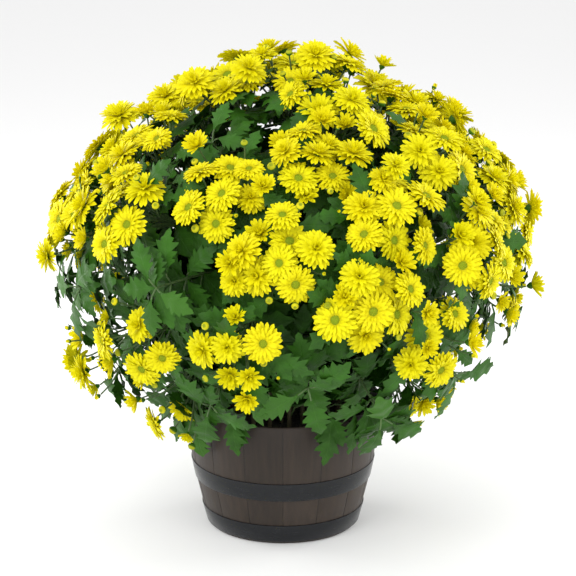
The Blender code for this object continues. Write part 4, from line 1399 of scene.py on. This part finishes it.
def make_soil(settings):
    """Lumpy potting soil with loose crumbs, filling the pot to a finger below its rim."""
    bm = new_sheet()
    inside = [(barrel_radius(z) - WALL - SOIL_GAP, z) for z in SOIL_LEVELS]
    top = inside[-1][0]
    inside += [(top * share, SOIL_TOP) for share in SOIL_SHARES]
    for vert in loft(bm, [circle(radius, z, SOIL_SIDES) for radius, z in inside]):
        if vert.co.z > SOIL_LEVELS[-1] + 0.001:
            vert.co.z += sum(size * noise.noise(vert.co * scale) for size, scale in SOIL_LUMPS)
    crumb = crumb_mesh()
    draw = random.Random("crumbs")
    for _ in range(settings.crumbs):
        turn = draw.uniform(0, math.tau)
        reach = (top - CRUMB_MARGIN) * math.sqrt(draw.random())
        size = draw.uniform(*CRUMB_SIZE)
        place = Matrix.Translation(polar(reach, turn, SOIL_TOP + size * 0.2))
        spin, axis = draw.uniform(0, math.tau), Vector([draw.gauss(0, 1) for _ in range(3)])
        shape = Matrix.Diagonal((*(size * share for share in CRUMB_SHAPE), 1))
        stamp(bm, crumb, place @ Matrix.Rotation(spin, 4, axis) @ shape)
    bpy.data.meshes.remove(crumb)
    as_piece("soil_body", bm, ("soil_dark",), "soil", 60.0)


def add_light(name, place, target, side, power):
    """A soft square light that faces a target."""
    light = bpy.data.lights.new(name, "AREA")
    light.size = side
    light.energy = power
    holder = add_object(name, light)
    holder.location = place
    holder.rotation_euler = (Vector(target) - Vector(place)).to_track_quat("-Z", "Y").to_euler()


def add_sky():
    """Even white light from all round."""
    sky = bpy.data.worlds.new("studio")
    sky.use_nodes = True
    background = sky.node_tree.nodes["Background"]
    background.inputs["Color"].default_value = WHITE
    background.inputs["Strength"].default_value = SKY_STRENGTH
    bpy.context.scene.world = sky


def add_floor():
    """A plain pale floor."""
    bm = bmesh.new()
    bmesh.ops.create_grid(bm, x_segments=1, y_segments=1, size=FLOOR_HALF_SIDE)
    floor = add_object("floor", as_mesh(bm, "floor"))
    pale = Finish("floor_pale", roughness=0.85)
    pale.shader.inputs["Base Color"].default_value = PALE_FLOOR
    floor.data.materials.append(pale.material)


def add_camera():
    """The camera at the photograph's angle, framed as it is."""
    up = Vector((0, math.sin(CAMERA_ELEVATION), math.cos(CAMERA_ELEVATION)))
    look = Vector((0, math.cos(CAMERA_ELEVATION), -math.sin(CAMERA_ELEVATION)))
    middle = PHOTO_SIDE / 2
    centre = up * (FOOT_Y - middle) * PIXEL + Vector(((middle - AXIS_X) * PIXEL, 0, 0))
    camera = bpy.data.cameras.new("camera")
    camera.sensor_width = SENSOR_WIDTH
    camera.lens = SENSOR_WIDTH * CAMERA_DISTANCE / (PIXEL * PHOTO_SIDE)
    holder = add_object("camera", camera)
    holder.location = centre - look * CAMERA_DISTANCE
    holder.rotation_euler = (math.pi / 2 - CAMERA_ELEVATION, 0, 0)
    bpy.context.scene.camera = holder


class CHRYSANTHEMUM_OT_pot(bpy.types.Operator):
    """Build the barrel pot"""

    bl_idname = "chrysanthemum.pot"
    bl_label = "Pot"

    def execute(self, context):
        make_pot(context.scene.chrysanthemum_pot)
        return {"FINISHED"}


class CHRYSANTHEMUM_OT_hoops(bpy.types.Operator):
    """Build the two hoops round the pot"""

    bl_idname = "chrysanthemum.hoops"
    bl_label = "Hoops"

    def execute(self, context):
        for name, span in HOOPS.items():
            make_hoop(name, span, context.scene.chrysanthemum_pot.hoop_proud)
        return {"FINISHED"}


class CHRYSANTHEMUM_OT_soil(bpy.types.Operator):
    """Fill the pot with soil"""

    bl_idname = "chrysanthemum.soil"
    bl_label = "Soil"

    def execute(self, context):
        make_soil(context.scene.chrysanthemum_pot)
        return {"FINISHED"}


class CHRYSANTHEMUM_OT_plant(bpy.types.Operator):
    """Grow the flowering stems and the leafy shoots"""

    bl_idname = "chrysanthemum.plant"
    bl_label = "Plant"

    def execute(self, context):
        settings = context.scene.chrysanthemum_plant
        stems = lay_out()
        flowering = [stem for stem in stems if not stem["leafy"]]
        for stem in flowering:
            open_bunch(stem)
        taken = [bloom["place"] for stem in flowering for bloom in stem["blooms"]]
        for stem in flowering:
            add_young_heads(stem, taken, settings)
        shapes = templates()
        for stem in stems:
            make_stem(stem, shapes, settings)
        for mesh in sum(shapes.values(), []):
            bpy.data.meshes.remove(mesh)
        return {"FINISHED"}


class CHRYSANTHEMUM_OT_stage(bpy.types.Operator):
    """Set the floor, the lights and the camera"""

    bl_idname = "chrysanthemum.stage"
    bl_label = "Stage"

    def execute(self, context):
        add_floor()
        add_sky()
        for name, light in LIGHTS.items():
            add_light(name, *light)
        add_camera()
        context.scene.view_settings.view_transform = "Standard"
        return {"FINISHED"}


class CHRYSANTHEMUM_PT_build(bpy.types.Panel):
    """Lists the pieces of the pot chrysanthemum"""

    bl_label = "Pot Chrysanthemum"
    bl_idname = "CHRYSANTHEMUM_PT_build"
    bl_space_type = "VIEW_3D"
    bl_region_type = "UI"
    bl_category = "Chrysanthemum"

    def draw(self, context):
        for group in (context.scene.chrysanthemum_pot, context.scene.chrysanthemum_plant):
            box = self.layout.box()
            for name in group.__annotations__:
                box.prop(group, name)
        for operator in OPERATORS:
            self.layout.operator(operator.bl_idname)


OPERATORS = (
    CHRYSANTHEMUM_OT_pot,
    CHRYSANTHEMUM_OT_hoops,
    CHRYSANTHEMUM_OT_soil,
    CHRYSANTHEMUM_OT_plant,
    CHRYSANTHEMUM_OT_stage,
)
CLASSES = (PotSettings, PlantSettings, *OPERATORS, CHRYSANTHEMUM_PT_build)


def register():
    for cls in CLASSES:
        bpy.utils.register_class(cls)
    bpy.types.Scene.chrysanthemum_pot = bpy.props.PointerProperty(type=PotSettings)
    bpy.types.Scene.chrysanthemum_plant = bpy.props.PointerProperty(type=PlantSettings)


def unregister():
    del bpy.types.Scene.chrysanthemum_plant
    del bpy.types.Scene.chrysanthemum_pot
    for cls in reversed(CLASSES):
        bpy.utils.unregister_class(cls)


def main():
    register()
    bpy.ops.chrysanthemum.pot()
    bpy.ops.chrysanthemum.hoops()
    bpy.ops.chrysanthemum.soil()
    bpy.ops.chrysanthemum.plant()
    bpy.ops.chrysanthemum.stage()


if __name__ == "__main__":
    main()
